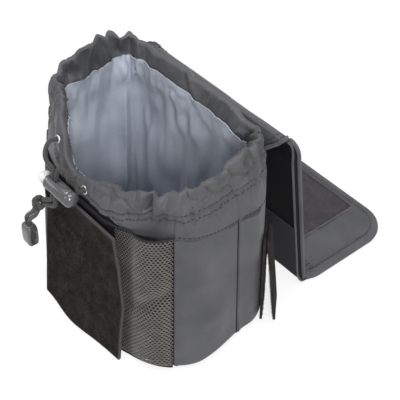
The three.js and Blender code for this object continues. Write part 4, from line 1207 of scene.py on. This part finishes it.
def buildNet():  # every point becomes a hole with strands round it
    tree, given, out, sockets = geometryTree("knitNet", [("Hole", floatSocket)])
    dual = addNode(tree, "GeometryNodeDualMesh")
    rims = fill(addNode(tree, "GeometryNodeExtrudeMesh", mode="FACES"), Offset_Scale=0.0, Individual=True)
    narrow = addNode(tree, "GeometryNodeScaleElements", domain="FACE")
    clear = addNode(tree, "GeometryNodeDeleteGeometry", domain="FACE")
    wire(tree, (given, "Geometry", dual, "Mesh"), (dual, 0, rims, "Mesh"), (rims, "Mesh", narrow, "Geometry"),
         (rims, "Top", narrow, "Selection"), (given, "Hole", narrow, "Scale"), (narrow, "Geometry", clear, "Geometry"),
         (rims, "Top", clear, "Selection"))
    finishTree(tree, given, out, clear, "Geometry")
    return tree, sockets


def buildRibs():  # half-round bars on every point, lying along X
    tree, given, out, sockets = geometryTree("ribRows", [("Width", floatSocket), ("Radius", floatSocket)])
    bar = fill(addNode(tree, "GeometryNodeMeshCylinder"), Vertices=8, Radius=1.0, Depth=1.0)
    lie = fill(addNode(tree, "GeometryNodeTransform"), Rotation=(0, math.pi / 2, 0))
    size = addNode(tree, "ShaderNodeCombineXYZ")
    place = addNode(tree, "GeometryNodeInstanceOnPoints")
    wire(tree, (given, "Width", size, "X"), (given, "Radius", size, "Y"), (given, "Radius", size, "Z"),
         (bar, "Mesh", lie, "Geometry"), (given, "Geometry", place, "Points"), (lie, "Geometry", place, "Instance"),
         (size, "Vector", place, "Scale"))
    finishTree(tree, given, out, place, "Instances")
    return tree, sockets


trees = {
    "stitch": buildStitches(), "pile": buildPile(), "hook": buildHooks(), "net": buildNet(), "rib": buildRibs(),
}


def grown(name, points, edges, faces, treeName, values, thicken=0.0):
    mesh = bpy.data.meshes.new(name)
    mesh.from_pydata((np.asarray(points, float) * mm).tolist(), edges, faces)
    mesh.update()
    piece = bpy.data.objects.new(name, mesh)
    scene.collection.objects.link(piece)
    tree, sockets = trees[treeName]
    grow = piece.modifiers.new(treeName, "NODES")
    grow.node_group = tree
    for label, value in values.items():
        grow[sockets[label]] = value
    if thicken:
        solid = piece.modifiers.new("thickness", "SOLIDIFY")
        solid.thickness, solid.offset = thicken, 0.0
    keepEvaluated(piece)
    piece.data.polygons.foreach_set("use_smooth", np.ones(len(piece.data.polygons), bool))
    return piece


print("trees built")

# mesh pocket: net at both sides of the loop panel, plain knit behind it
pocketSetup = {
    "pitch": 3.1, "rowGap": 1.9, "thread": 0.0006, "bottom": 3.0, "bulge": 6.5, "leftSlack": 0.35,
    "plainReach": 31.0, "plainThickness": 0.5, "foldDepth": 3.8, "edgeThickness": 1.2, "edgeRise": 2.0,
    "middleRise": 2.6, "hemRadius": 1.1, "hemLevel": 2.1,
    "nets": (  # name, side, from, to, hole, share of thread; holes wider beside the loop panel, so the black behind shows there as painted shade
        ("rightPocketNetEdge", 1, 31.0, 53.5, 0.86, 0.6), ("rightPocketNet", 1, 50.5, 84.2, 0.64, 0.83),
        ("leftPocketNet", -1, 31.0, 84.2, 0.64, 0.77),
    ),
    "topLine": (  # place, height
        (0, 109.5), (20, 109.5), (26, 112), (38, 116), (50, 118.3), (62, 120), (74, 123), (83, 125),
    ),
}


def pocketTop(arc):
    place, height = zip(*pocketSetup["topLine"])
    level = np.interp(np.abs(arc), place, height)
    return np.where(np.asarray(arc) < 0, height[0] + 0.2 * (level - height[0]), level)  # lower on the left


def pocketDepth(arc, z):  # two bellies with a slanting fold between them
    s = pocketSetup
    off = np.abs(arc)
    span = np.clip((off - 49) / (body["frontSeam"] - 49), 0, 1)
    belly = s["bulge"] * np.sin(np.pi * span) ** 0.8 * (0.6 + 0.4 * np.sin(np.pi * np.clip(z / 118, 0, 1)))
    fold = s["foldDepth"] * np.exp(-((z - 47 - 0.73 * (off - 41)) / 7.0) ** 2) * np.sin(np.pi * span) ** 0.5
    ripple = 0.8 * softNoise(arc, z, 24.0, 51) * smoothStep(off, 44, 52) * (1 - smoothStep(span, 0.85, 1))
    slack = np.where(np.asarray(arc) < 0, s["leftSlack"], 1.0)
    return leanAt(z) - 0.7 - (belly - fold + ripple) * smoothStep(z, 1, 8) * slack


def pocketPoint(arc, share):
    z = pocketSetup["bottom"] + (pocketTop(arc) - pocketSetup["bottom"]) * share
    return wallAt(arc, pocketDepth(arc, z), z)


def netSheet(name, sign, start, span, rowCount, hole):
    s = pocketSetup
    count = int(span / s["pitch"]) + 1
    points, faces = [], []
    for r in range(rowCount):
        for c in range(count + 1):
            arc = start + span * np.clip((c + 0.5 * (r % 2) - 0.25) / count, 0, 1)
            points.append(pocketPoint(sign * arc, r / (rowCount - 1)))
    wide = count + 1
    for r in range(rowCount - 1):
        for c in range(count):
            a, b, d, e = r * wide + c, r * wide + c + 1, (r + 1) * wide + c, (r + 1) * wide + c + 1
            faces += [(a, b, d), (b, e, d)] if r % 2 == 0 else [(a, b, e), (a, e, d)]
    if sign < 0:
        faces = [f[::-1] for f in faces]
    return grown(name, np.array(points), [], faces, "net", {"Hole": hole, "Finish": finishes["mesh"]}, s["thread"])


def addPocket():
    s = pocketSetup
    reach, tall = body["frontSeam"] - 0.2, float(pocketTop(70)) - s["bottom"]
    for name, sign, start, end, hole, share in s["nets"]:
        net = netSheet(name, sign, start, end - start, int(tall / s["rowGap"]) + 1, hole)
        dress(net, "pouch", "mesh", "mesh_pocket")
    wide = s["plainReach"] + 2
    a, t = np.meshgrid(np.linspace(-wide, wide, 60), np.linspace(0, 1, 40))
    # the backing is near-black as painted shade behind the net and the loop panel
    plain = shell("pocketBacking", pocketPoint(a, t), s["plainThickness"], np.stack([a, t * tall], -1) * mm,
                  "nylonBlackAndPaintedShade")
    dress(plain, "pouch", "mesh")
    arcs = np.linspace(-reach, reach, 260)
    hemLine = wallAt(arcs, pocketDepth(arcs, s["bottom"]) + 0.7, s["hemLevel"] + 0 * arcs)
    foot = tube("pocketFoot", hemLine, s["hemRadius"], 8, "nylonBlackAndPaintedShade")  # turned hem that closes the net's lower edge
    dress(foot, "pouch", "mesh")
    middle = 1 - smoothStep(np.abs(arcs), 20, 34)  # taller behind the loop panel's top, where the black band stands as painted shade in the gap above the panel
    rise = s["edgeRise"] + s["middleRise"] * middle
    level = pocketTop(arcs)
    rows = []
    for t in np.linspace(0, 1, 7):
        rows.append(wallAt(arcs, pocketDepth(arcs, level) - 0.4 - 0.5 * math.sin(math.pi * t), level - 1.0 + rise * t))
    grid = np.array(rows)
    uv = np.stack([np.broadcast_to(arcs, grid.shape[:2]), grid[..., 2]], -1) * mm
    band = shell("pocketElastic", grid, s["edgeThickness"], uv, "elastic")
    dress(band, "pouch", "tape", "pocket_elastic")


addPocket()
print("pocket knitted")


# edge tape folded round a line: flat oval section, as wide as the stack
def tapeAlong(name, path, out, thick, width, finish="tape", crown=0.35):
    path, out = np.asarray(path, float), np.asarray(out, float)
    ahead = headings(path)
    out = out - ahead * (out * ahead).sum(1, keepdims=True)
    out /= np.linalg.norm(out, axis=1, keepdims=True)
    up = np.cross(ahead, out)
    t, w = thick / 2, width
    half = [(-w, t - 0.2), (-w + 0.3, t + 0.3), (-w * 0.6, t + crown), (-w * 0.2, t + crown * 0.5),
            (0.25, t - 0.35 * t), (0.6, 0)]
    section = np.array(half + [(x, -y) for x, y in half[-2::-1]])
    grid = path[:, None] + out[:, None] * section[:, :1] + up[:, None] * section[:, 1:]
    rows, columns = grid.shape[:2]
    faces, spots = gridFaces(rows, columns, True)
    around = runOf(section)
    around = np.r_[around, around[-1] + thick]
    uv = np.stack([runOf(path)[spots[..., 0]], around[spots[..., 1]]], -1) * mm
    return closedMesh(name, grid.reshape(-1, 3), faces, endCaps(rows, columns), finish, uv, 55)


# loop panel on the pocket: thick woven base with loop pile, bowed out at the foot
loopSetup = {
    "left": -44.0, "bottom": 1.6, "top": 110.0, "thickness": 2.4, "stand": 2.5, "bow": 5.0, "lip": 1.6, "edge": 0.5,
    "density": 420000.0, "height": 0.00075, "fibre": 0.00011,
    "rightLine": ((0, 46.8), (35, 47.3), (55, 48.6), (72, 44.5), (93, 40), (110, 36.5)),  # height, right edge
}


def loopPoint(share, z, stand):  # share goes from the left edge to the right one
    s = loopSetup
    tilt = math.atan(body["frontSlope"] / body["panelHeight"])
    height, right = zip(*s["rightLine"])
    x = s["left"] + (np.interp(z, height, right) - s["left"]) * share
    foot = s["bow"] * np.exp(-((x + 5) / 26) ** 2) * (1 - smoothStep(z, 0, 34))
    lip = s["lip"] * smoothStep(z, 84, 110)
    off = stand + foot + lip + 0.5 * softNoise(x, z, 30.0, 61)
    y = frontY - off * math.cos(tilt) + z * math.sin(tilt)
    return np.stack([x, y, z * math.cos(tilt) + off * math.sin(tilt)], -1)


def addLoopPanel():
    s = loopSetup
    u, z = np.meshgrid(np.linspace(0, 1, 60), np.linspace(s["bottom"], s["top"], 74))
    grid, back = (loopPoint(u, z, s["stand"] + depth) for depth in (s["thickness"], 0))
    slab = shell("loopPanel", grid, None, np.stack([u * 90, z], -1) * mm, "pile", back=back)
    dress(slab, "pouch", "pile", "loop_panel")
    nap = grid[1:-1, 1:-1]  # the border stays bare
    faces, _ = gridFaces(*nap.shape[:2], False)
    values = {"Density": s["density"], "Height": s["height"], "Fibre": s["fibre"], "Seed": 7,
              "Finish": finishes["pile"]}
    dress(grown("loopPanelPile", nap.reshape(-1, 3), [], faces.tolist(), "pile", values), "pouch", "pile")
    middle = (grid + back) / 2
    sides = ((middle[0], middle[1]), (middle[1:, -1], middle[1:, -2]), (middle[-1, -2::-1], middle[-2, -2::-1]),
             (middle[-2:0:-1, 0], middle[-2:0:-1, 1]))
    path = np.concatenate([edge for edge, _ in sides])
    out = np.concatenate([edge - inner for edge, inner in sides])
    border = tapeAlong("loopPanelEdge", path, out, s["thickness"], s["edge"], "pileEdge", 0.1)
    dress(border, "pouch", "pile")


addLoopPanel()
print("loop panel napped")

# lid: riser, arched strip, stiff panel and tongue, drawn as a line in Y and Z
lidSetup = {
    "crest": (64.0, 157.0), "archFoot": (79.0, 131.0), "crease": (94.0, 2.4), "riserFoot": (59.5, 116.4), "half": 75.5,
    "riserHalf": 60.0, "riserWidens": 143.0, "thickness": 5.6, "web": 2.2, "atCrease": 2.7, "recess": 1.9,
    "ripple": 0.35, "rippleSize": 27.0, "step": 2.2, "columns": 48, "cover": 0.5, "ribbed": 56.0, "ribs": 34,
    "ribRadius": 0.0008, "stitchInset": (4.2, 8.0), "archEnd": 12.0,  # the strip runs this far down the panel
    "bends": {  # start and end
        "riser": ((62.5, 157.0), (69.5, 157.0)), "arch": ((79.0, 138.0), (80.0, 123.0)),
        "panel": ((92.0, 6.0), (98.5, 1.5)),
    },
    "edges": (  # face, name, thickness, width, crown, lift
        (1, "Outer", 2.2, 2.0, 0.2, 0.2), (-1, "Inner", 1.3, 0.9, 0.05, -0.35),
    ),
}
crest, archFoot, crease, riserFoot = (np.array(lidSetup[k]) for k in ("crest", "archFoot", "crease", "riserFoot"))
lidWay = (crease - archFoot) / np.linalg.norm(crease - archFoot)
lidReach = float(np.linalg.norm(crease - archFoot))
lidHalf = lidSetup["half"]


def archAt(t):  # 0 at the crest, 1 at the foot of the arch
    angle = np.pi / 2 * (1 - np.asarray(t, float))
    y = crest[0] + (archFoot[0] - crest[0]) * np.cos(angle)
    return np.stack([y, archFoot[1] + (crest[1] - archFoot[1]) * np.sin(angle)], -1)


def lidAt(distance):
    return archFoot + np.multiply.outer(np.asarray(distance, float), lidWay)


def lineNormals(line):
    along = headings(line)
    return np.stack([-along[:, 1], along[:, 0]], -1)


def lidSheet(name, line, half, thickness, finish):
    s = lidSetup
    share = np.linspace(-1, 1, s["columns"])
    x = np.multiply.outer(half, share)
    normals = lineNormals(line)
    run = np.broadcast_to(runOf(line)[:, None], x.shape)
    ripple = s["ripple"] * softNoise(x, run, s["rippleSize"], 71)
    sides = []
    for sign in (1, -1):
        off = sign * thickness[:, None] / 2 * (1 - 0.35 * np.abs(share) ** 14) + ripple
        yz = line[:, None] + normals[:, None] * off[..., None]
        sides.append(np.concatenate([x[..., None], yz], -1))
    return shell(name, sides[0], None, np.stack([x, run], -1) * mm, finish, back=sides[1])


def atX(line, x):
    return np.column_stack([np.broadcast_to(x, (len(line),)), line])


def evenLine(line, step):
    line = np.asarray(line, float)
    flat = np.column_stack([line, np.zeros(len(line))])
    return evenly(flat, max(3, int(lengthOf(flat) / step)))[:, :2]


threadSetup = {"pitch": 0.0033, "length": 0.0025, "thread": 0.0008}


def sewn(name, lines):  # dashes of thread along each line
    points, edges = [], []
    for line in lines:
        edges += [(len(points) + i, len(points) + i + 1) for i in range(len(line) - 1)]
        points += np.asarray(line).tolist()
    values = {"Pitch": threadSetup["pitch"], "Length": threadSetup["length"], "Thread": threadSetup["thread"]}
    return grown(name, points, edges, [], "stitch", {**values, "Finish": finishes["thread"]})


dress(sewn("collarStitches", collarRows), "pouch", "tape")


def bendWith(piece, slotName, bodies, start, end):  # bakes the piece's transform; the slot, bodies and the bend's start and end are not used
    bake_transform(piece)


def addLid():
    s = lidSetup
    archEnd = s["archEnd"]
    riserLine = np.concatenate([np.linspace(riserFoot, crest, 16)[:-1], archAt(np.linspace(0.0, 0.38, 12))])
    archLine = np.concatenate([archAt(np.linspace(0.28, 1, 22))[:-1], lidAt(np.linspace(0, archEnd, 7))])
    foldDown = [crease + (0.9, 0.35), crease + (2.5, -0.05), crease + (6.5, 0.0), crease + (10, 0.0)]
    panelLine = np.concatenate([lidAt(np.linspace(archEnd, lidReach - 3.0, 50)), foldDown])
    pieces = (  # name, line, bodies at both ends of the bend, nodes
        ("riser", riserLine, ("pouch", "lid_strip"), ["lid_riser"]),
        ("arch", archLine, ("lid_strip", "lid"), ["lid_strip"]),
        ("panel", panelLine, ("lid", "tongue"), ["lid_outer", "lid_lining", "lid_stiffener"]),
    )
    for name, line, bodies, nodes in pieces:
        bend = (bodies, *s["bends"][name])
        line = evenLine(line, s["step"])
        count = len(line)
        row = np.arange(count)
        half, thickness, recess = (np.full(count, value) for value in (lidHalf, s["web"], s["recess"]))
        if name == "riser":  # spreads to the lid's width at the crest
            spread = np.clip((line[:, 1] - s["riserWidens"]) / (crest[1] - s["riserWidens"]), 0, 1)
            half = s["riserHalf"] + (lidHalf - s["riserHalf"]) * spread
        if name == "arch":
            thickness = s["web"] + (s["thickness"] - s["web"]) * smoothStep(row, 2, count * 0.6)
        if name == "panel":  # thin and closed at the crease
            thickness = s["thickness"] - (s["thickness"] - s["atCrease"]) * smoothStep(row, count - 9, count - 4)
            recess = s["recess"] - (s["recess"] - 0.2) * smoothStep(row, count - 9, count - 5)
        # the lid's cloth is near-black: partly the fabric's own colour, partly painted shade where the pouch shadows
        # the lid's inner face
        cloth = lidSheet(name + "Cloth", line, half - recess, thickness, "nylonBlackAndPaintedShade")
        bendWith(cloth, "nylon", *bend)
        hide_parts(*nodes)
        normals, rows = lineNormals(line), []
        outer = line + normals * (thickness / 2 + 0.05)[:, None]
        cover = lidSheet(name + "Cover", outer, half - 0.3, np.full(count, s["cover"]), "nylon")
        bendWith(cover, "nylon", *bend)
        for side, sign in (("Right", 1), ("Left", -1)):
            out = np.tile((sign, 0, 0), (count, 1))
            for face, label, thick, wide, crown, lift in s["edges"]:
                path = line + normals * (face * (thickness / 2 + lift))[:, None]
                edge = half if face == 1 else half - recess + 0.35  # the inner one lies on the cloth's own edge
                tape = tapeAlong(name + "Edge" + label + side, atX(path, sign * edge), out, thick, wide, "tape", crown)
                bendWith(tape, "tape", *bend)
                if name == "panel" and face == 1:
                    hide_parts("lid_" + side.lower() + "_binding")
            for inset in s["stitchInset"]:
                rows.append(atX(line + normals * (thickness / 2 + 0.3)[:, None], sign * (half - inset)))
        bendWith(sewn(name + "Stitches", rows), "tape", *bend)
    # ribbed fabric over the lower part of the panel's inner face
    normal = np.array([lidWay[1], -lidWay[0]]) * (s["thickness"] / 2 + 0.25)
    foot = lidReach - 4.0
    centres = [np.r_[0.0, lidAt(d) + normal] for d in np.linspace(foot - s["ribbed"], foot - 4, s["ribs"])]
    values = {"Width": (2 * s["half"] - 4) * mm, "Radius": s["ribRadius"], "Finish": finishes["elastic"]}
    dress(grown("lidRibs", np.array(centres), [], [], "rib", values), "lid", "tape", "lid_ribbed_band")


addLid()
print("lid folded back")

# tongue: stiff leaf flat behind the crease, taped round three sides
tongueSetup = {
    "start": 98.5, "end": 191.5, "half": 79.0, "corner": 27.0, "bottom": 0.3, "top": 4.8, "tape": 7.0, "ripple": 0.9,
    "taper": 3.5, "barRows": (106.5, 109.0), "barSpan": (60.0, 72.0), "inset": 1.5, "step": 2.2,
}


def atZ(line, z):
    return np.column_stack([line, np.full(len(line), z)])


def taper(y):  # a little narrower at the crease
    return 1 - tongueSetup["taper"] / tongueSetup["half"] * (1 - smoothStep(y, 95, 108))


def tongueOutline(inset, count=40):
    s = tongueSetup
    half, end, corner = s["half"] - inset, s["end"] - inset, max(2.0, s["corner"] - inset)
    angle = np.linspace(0, np.pi / 2, count)
    right = np.column_stack([half - corner + corner * np.cos(angle), end - corner + corner * np.sin(angle)])
    straight = np.column_stack([np.full(20, half), np.linspace(s["start"], end - corner, 20, endpoint=False)])
    side = np.concatenate([straight, right])
    side[:, 0] *= taper(side[:, 1])
    return np.concatenate([side, side[::-1] * (-1, 1)])


def addTongue():
    s = tongueSetup
    grid, back = [], []
    corner = s["corner"] - s["inset"]
    for y in np.linspace(s["start"], s["end"] - s["inset"], 52):
        over = max(0.0, y - (s["end"] - s["corner"]))
        half = s["half"] - s["inset"] - corner + math.sqrt(max(0.0, corner ** 2 - over ** 2))
        x = np.linspace(-half, half, 60) * taper(y)
        along = np.full_like(x, y)
        ripple = softNoise(x * 0.6, along * 1.3, 15.0, 81) + 0.5 * softNoise(x + along, 0.3 * along, 7.0, 82)
        ripple = ripple * smoothStep(y, s["start"] + 4, s["start"] + 18)
        grid.append(np.column_stack([x, along, s["top"] - 0.6 + s["ripple"] * ripple]))
        back.append(np.column_stack([x, along, np.full_like(x, s["bottom"] + 0.2)]))
    grid, back = np.array(grid), np.array(back)
    leaf = shell("tongueLeaf", grid, None, grid[..., :2] * mm, "nylon", back=back)
    dress(leaf, "tongue", "nylon", "tongue_outer", "tongue_stiffener", "tongue_lining")
    flat = atZ(evenLine(tongueOutline(0.0), s["step"]), (s["top"] + s["bottom"]) / 2)
    out = np.cross(np.gradient(flat, axis=0), (0, 0, 1.0))
    tape = tapeAlong("tongueTape", flat, out, s["top"] - s["bottom"] - 0.4, s["tape"], "tape", 0.9)
    dress(tape, "tongue", "tape", "tongue_binding")
    rows = [atZ(evenLine(tongueOutline(s["tape"] - 1.4), s["step"]), s["top"] + 0.45)]
    for sign in (1, -1):  # bars that fasten the tape's ends
        for y in s["barRows"]:
            rows.append([(sign * x, y, s["top"] + 0.9) for x in np.linspace(*s["barSpan"], 5)])
    dress(sewn("tongueStitches", rows), "tongue", "tape")


addTongue()

# hook panel: woven base with rows of hooks along the tongue's width
hookSetup = {
    "half": 43.5, "start": 106.0, "end": 182.5, "base": 4.6, "thickness": 1.1, "rowPitch": 2.3, "ridge": 0.4,
    "hookPitch": 1.5, "height": 0.0012, "fibre": 0.00016, "seamInset": 1.4,
}


def addHookPanel():
    s = hookSetup
    half, start, end, top = s["half"], s["start"], s["end"], s["base"] + s["thickness"]
    x, y = np.meshgrid(np.linspace(-half, half, 50), np.linspace(start, end, 230))
    ridges = s["ridge"] * np.cos(2 * np.pi * (y - start) / s["rowPitch"])
    grid = np.stack([x, y, top + ridges + 0.15 * softNoise(x, y, 20.0, 91)], -1)
    back = np.stack([x, y, np.full_like(x, s["base"] - 1.0)], -1)
    slab = shell("hookPanel", grid, None, np.stack([x, y], -1) * mm, "hooks", back=back)
    dress(slab, "tongue", "hooks", "hook_panel")
    gx, gy = np.meshgrid(np.arange(-half + 1.2, half - 1, s["hookPitch"]),
                         np.arange(start + s["rowPitch"], end - 1, s["rowPitch"]))
    points = np.stack([gx, gy, np.full_like(gx, top + 0.3)], -1)
    faces, _ = gridFaces(*gx.shape, False)
    values = {"Height": s["height"], "Fibre": s["fibre"], "Seed": 3, "Finish": finishes["hooks"]}
    dress(grown("hookPanelHooks", points.reshape(-1, 3), [], faces.tolist(), "hook", values), "tongue", "hooks")
    wide, far = half - s["seamInset"], end - s["seamInset"]
    seamLine = atZ([(wide, start + 1), (wide, far), (-wide, far), (-wide, start + 1)], top + 0.6)
    dress(sewn("hookPanelStitches", [seamLine]), "tongue", "tape")
    path = atZ(evenLine([(half, start), (half, end), (-half, end), (-half, start)], 1.6), s["base"] + 0.55)
    out = np.cross(np.gradient(path, axis=0), (0, 0, 1.0))
    dress(tapeAlong("hookPanelEdge", path, out, 1.4, 1.0, "hookEdge", 0.1), "tongue", "hooks")


addHookPanel()
print("tongue made")

# belt tabs on the rear corners: loop tab on the corner, hook tab folded off its top
tabSetup = {
    "width": 25.0, "height": 80.0, "bottom": 4.0, "thickness": 2.0, "gap": 0.9, "opening": 5.0, "bow": 0.15,
    "density": 260000.0, "pileHeight": 0.0006, "pileFibre": 0.00012, "hookHeight": 0.0009, "hookFibre": 0.00016,
}


def addTabs():
    s = tabSetup
    half = s["thickness"] / 2
    turn = math.radians(s["opening"])
    w, h = np.linspace(-s["width"] / 2, s["width"] / 2, 16), np.linspace(0, s["height"], 44)
    ww, hh = np.meshgrid(w, h)
    uv = np.stack([ww, hh], -1) * mm
    faces, _ = gridFaces(*ww.shape, False)
    flipped = gridFaces(len(h) - 2, len(w) - 2, False)[0][:, ::-1]
    pileValues = {"Density": s["density"], "Height": s["pileHeight"], "Fibre": s["pileFibre"], "Seed": 9,
                  "Finish": finishes["pile"]}
    hookValues = {"Height": s["hookHeight"], "Fibre": s["hookFibre"], "Seed": 4, "Finish": finishes["hooks"]}
    for side, sign in (("right", 1), ("left", -1)):
        bearing = tabBearing if sign > 0 else math.pi - tabBearing
        out = np.array([math.cos(bearing), math.sin(bearing), 0])
        along = np.array([-out[1], out[0], 0])
        origin = np.array([sign * cornerX, cornerY, 0])
        loopAt = body["backCorner"] + 0.3 + half

        def place(off, lift):
            flat = origin + out * np.asarray(off)[..., None] + along * ww[..., None]
            return flat + np.array([0, 0, 1.0]) * lift[..., None]

        front, rear = (place(loopAt + d + 0 * ww, s["bottom"] + hh) for d in (half, -half))
        loop = shell(side + "TabLoop", front, None, uv, "pile", back=rear)
        dress(loop, "pouch", "pile", side + "_belt_tab_loop")
        nap = grown(side + "TabPile", front.reshape(-1, 3), [], faces.tolist(), "pile", pileValues)
        dress(nap, "pouch", "pile")
        down = s["height"] - hh
        bow = s["bow"] * softNoise(ww, hh, 18.0, 95)
        middle = loopAt + s["thickness"] + s["gap"] + down * math.sin(turn) + bow
        lift = s["bottom"] + s["height"] - down * math.cos(turn)
        front, rear = (place(middle + d * math.cos(turn), lift + d * math.sin(turn)) for d in (half, -half))
        hook = shell(side + "TabHook", front, None, uv, "pile", back=rear)
        dress(hook, side + "_belt_tab", "hooks", side + "_belt_tab_hook")
        inner = rear[1:-1, 1:-1].reshape(-1, 3)
        hooks = grown(side + "TabHooks", inner, [], flipped.tolist(), "hook", hookValues)
        dress(hooks, side + "_belt_tab", "hooks")


addTabs()
print("belt tabs made")

# stage and light
stageSetup = {
    "world": 0.15, "shadow": 0.28, "glow": 1.08, "floorTone": 0.9, "floorReach": 4.0, "floorLevel": -0.0004,
    "aim": (0, 0.02, 0.08),
    "lamps": (  # name, place, power, size
        ("keyLight", (1.25, -0.7, 1.0), 23.0, 0.6),
        ("leftLight", (-0.9, -0.9, 0.75), 2.8, 0.6),
        ("topLight", (0.0, -0.05, 1.5), 17.0, 0.9),
    ),
}


def backdropRays(tree):  # straight, mirrored or through something clear
    light = addNode(tree, "ShaderNodeLightPath")
    rays = light.outputs["Is Camera Ray"]
    for kind in ("Is Glossy Ray", "Is Transmission Ray"):
        rays = mathNode(tree, "MAXIMUM", rays, light.outputs[kind])
    return rays


def mixShaders(tree, share, first, second, outputName):
    mix = addNode(tree, "ShaderNodeMixShader")
    tree.links.new(share, mix.inputs[0])
    wire(tree, (first, 0, mix, 1), (second, 0, mix, 2), (mix, 0, tree.nodes[outputName], "Surface"))


def addStage():
    s = stageSetup
    white = (1, 1, 1, 1)
    world = bpy.data.worlds.new("studio")
    scene.world = world
    world.use_nodes = True
    tree = world.node_tree
    soft = fill(tree.nodes["Background"], Color=white, Strength=s["world"])
    seen = fill(addNode(tree, "ShaderNodeBackground"), Color=white, Strength=1.0)
    mixShaders(tree, backdropRays(tree), soft, seen, "World Output")
    material, tree, shader = newMaterial("whiteFloor")
    fill(shader, Base_Color=(s["floorTone"], s["floorTone"], s["floorTone"], 1), Roughness=0.9)
    glow = fill(addNode(tree, "ShaderNodeEmission"), Color=white, Strength=s["glow"])
    share = mathNode(tree, "MULTIPLY", backdropRays(tree), 1 - s["shadow"])
    mixShaders(tree, share, shader, glow, "Material Output")
    floorMesh = bpy.data.meshes.new("floor")
    reach, level = s["floorReach"], s["floorLevel"]
    corners = [(-reach, -reach, level), (reach, -reach, level), (reach, reach, level), (-reach, reach, level)]
    floorMesh.from_pydata(corners, [], [(0, 1, 2, 3)])
    floorMesh.materials.append(material)
    floor = bpy.data.objects.new("floor", floorMesh)
    scene.collection.objects.link(floor)
    for name, place, power, size in s["lamps"]:
        lamp = bpy.data.lights.new(name, "AREA")
        lamp.energy, lamp.size = power, size
        holder = bpy.data.objects.new(name, lamp)
        holder.location = place
        holder.rotation_euler = (Vector(s["aim"]) - Vector(place)).to_track_quat("-Z", "Y").to_euler()
        scene.collection.objects.link(holder)


addStage()
print("stage lit")
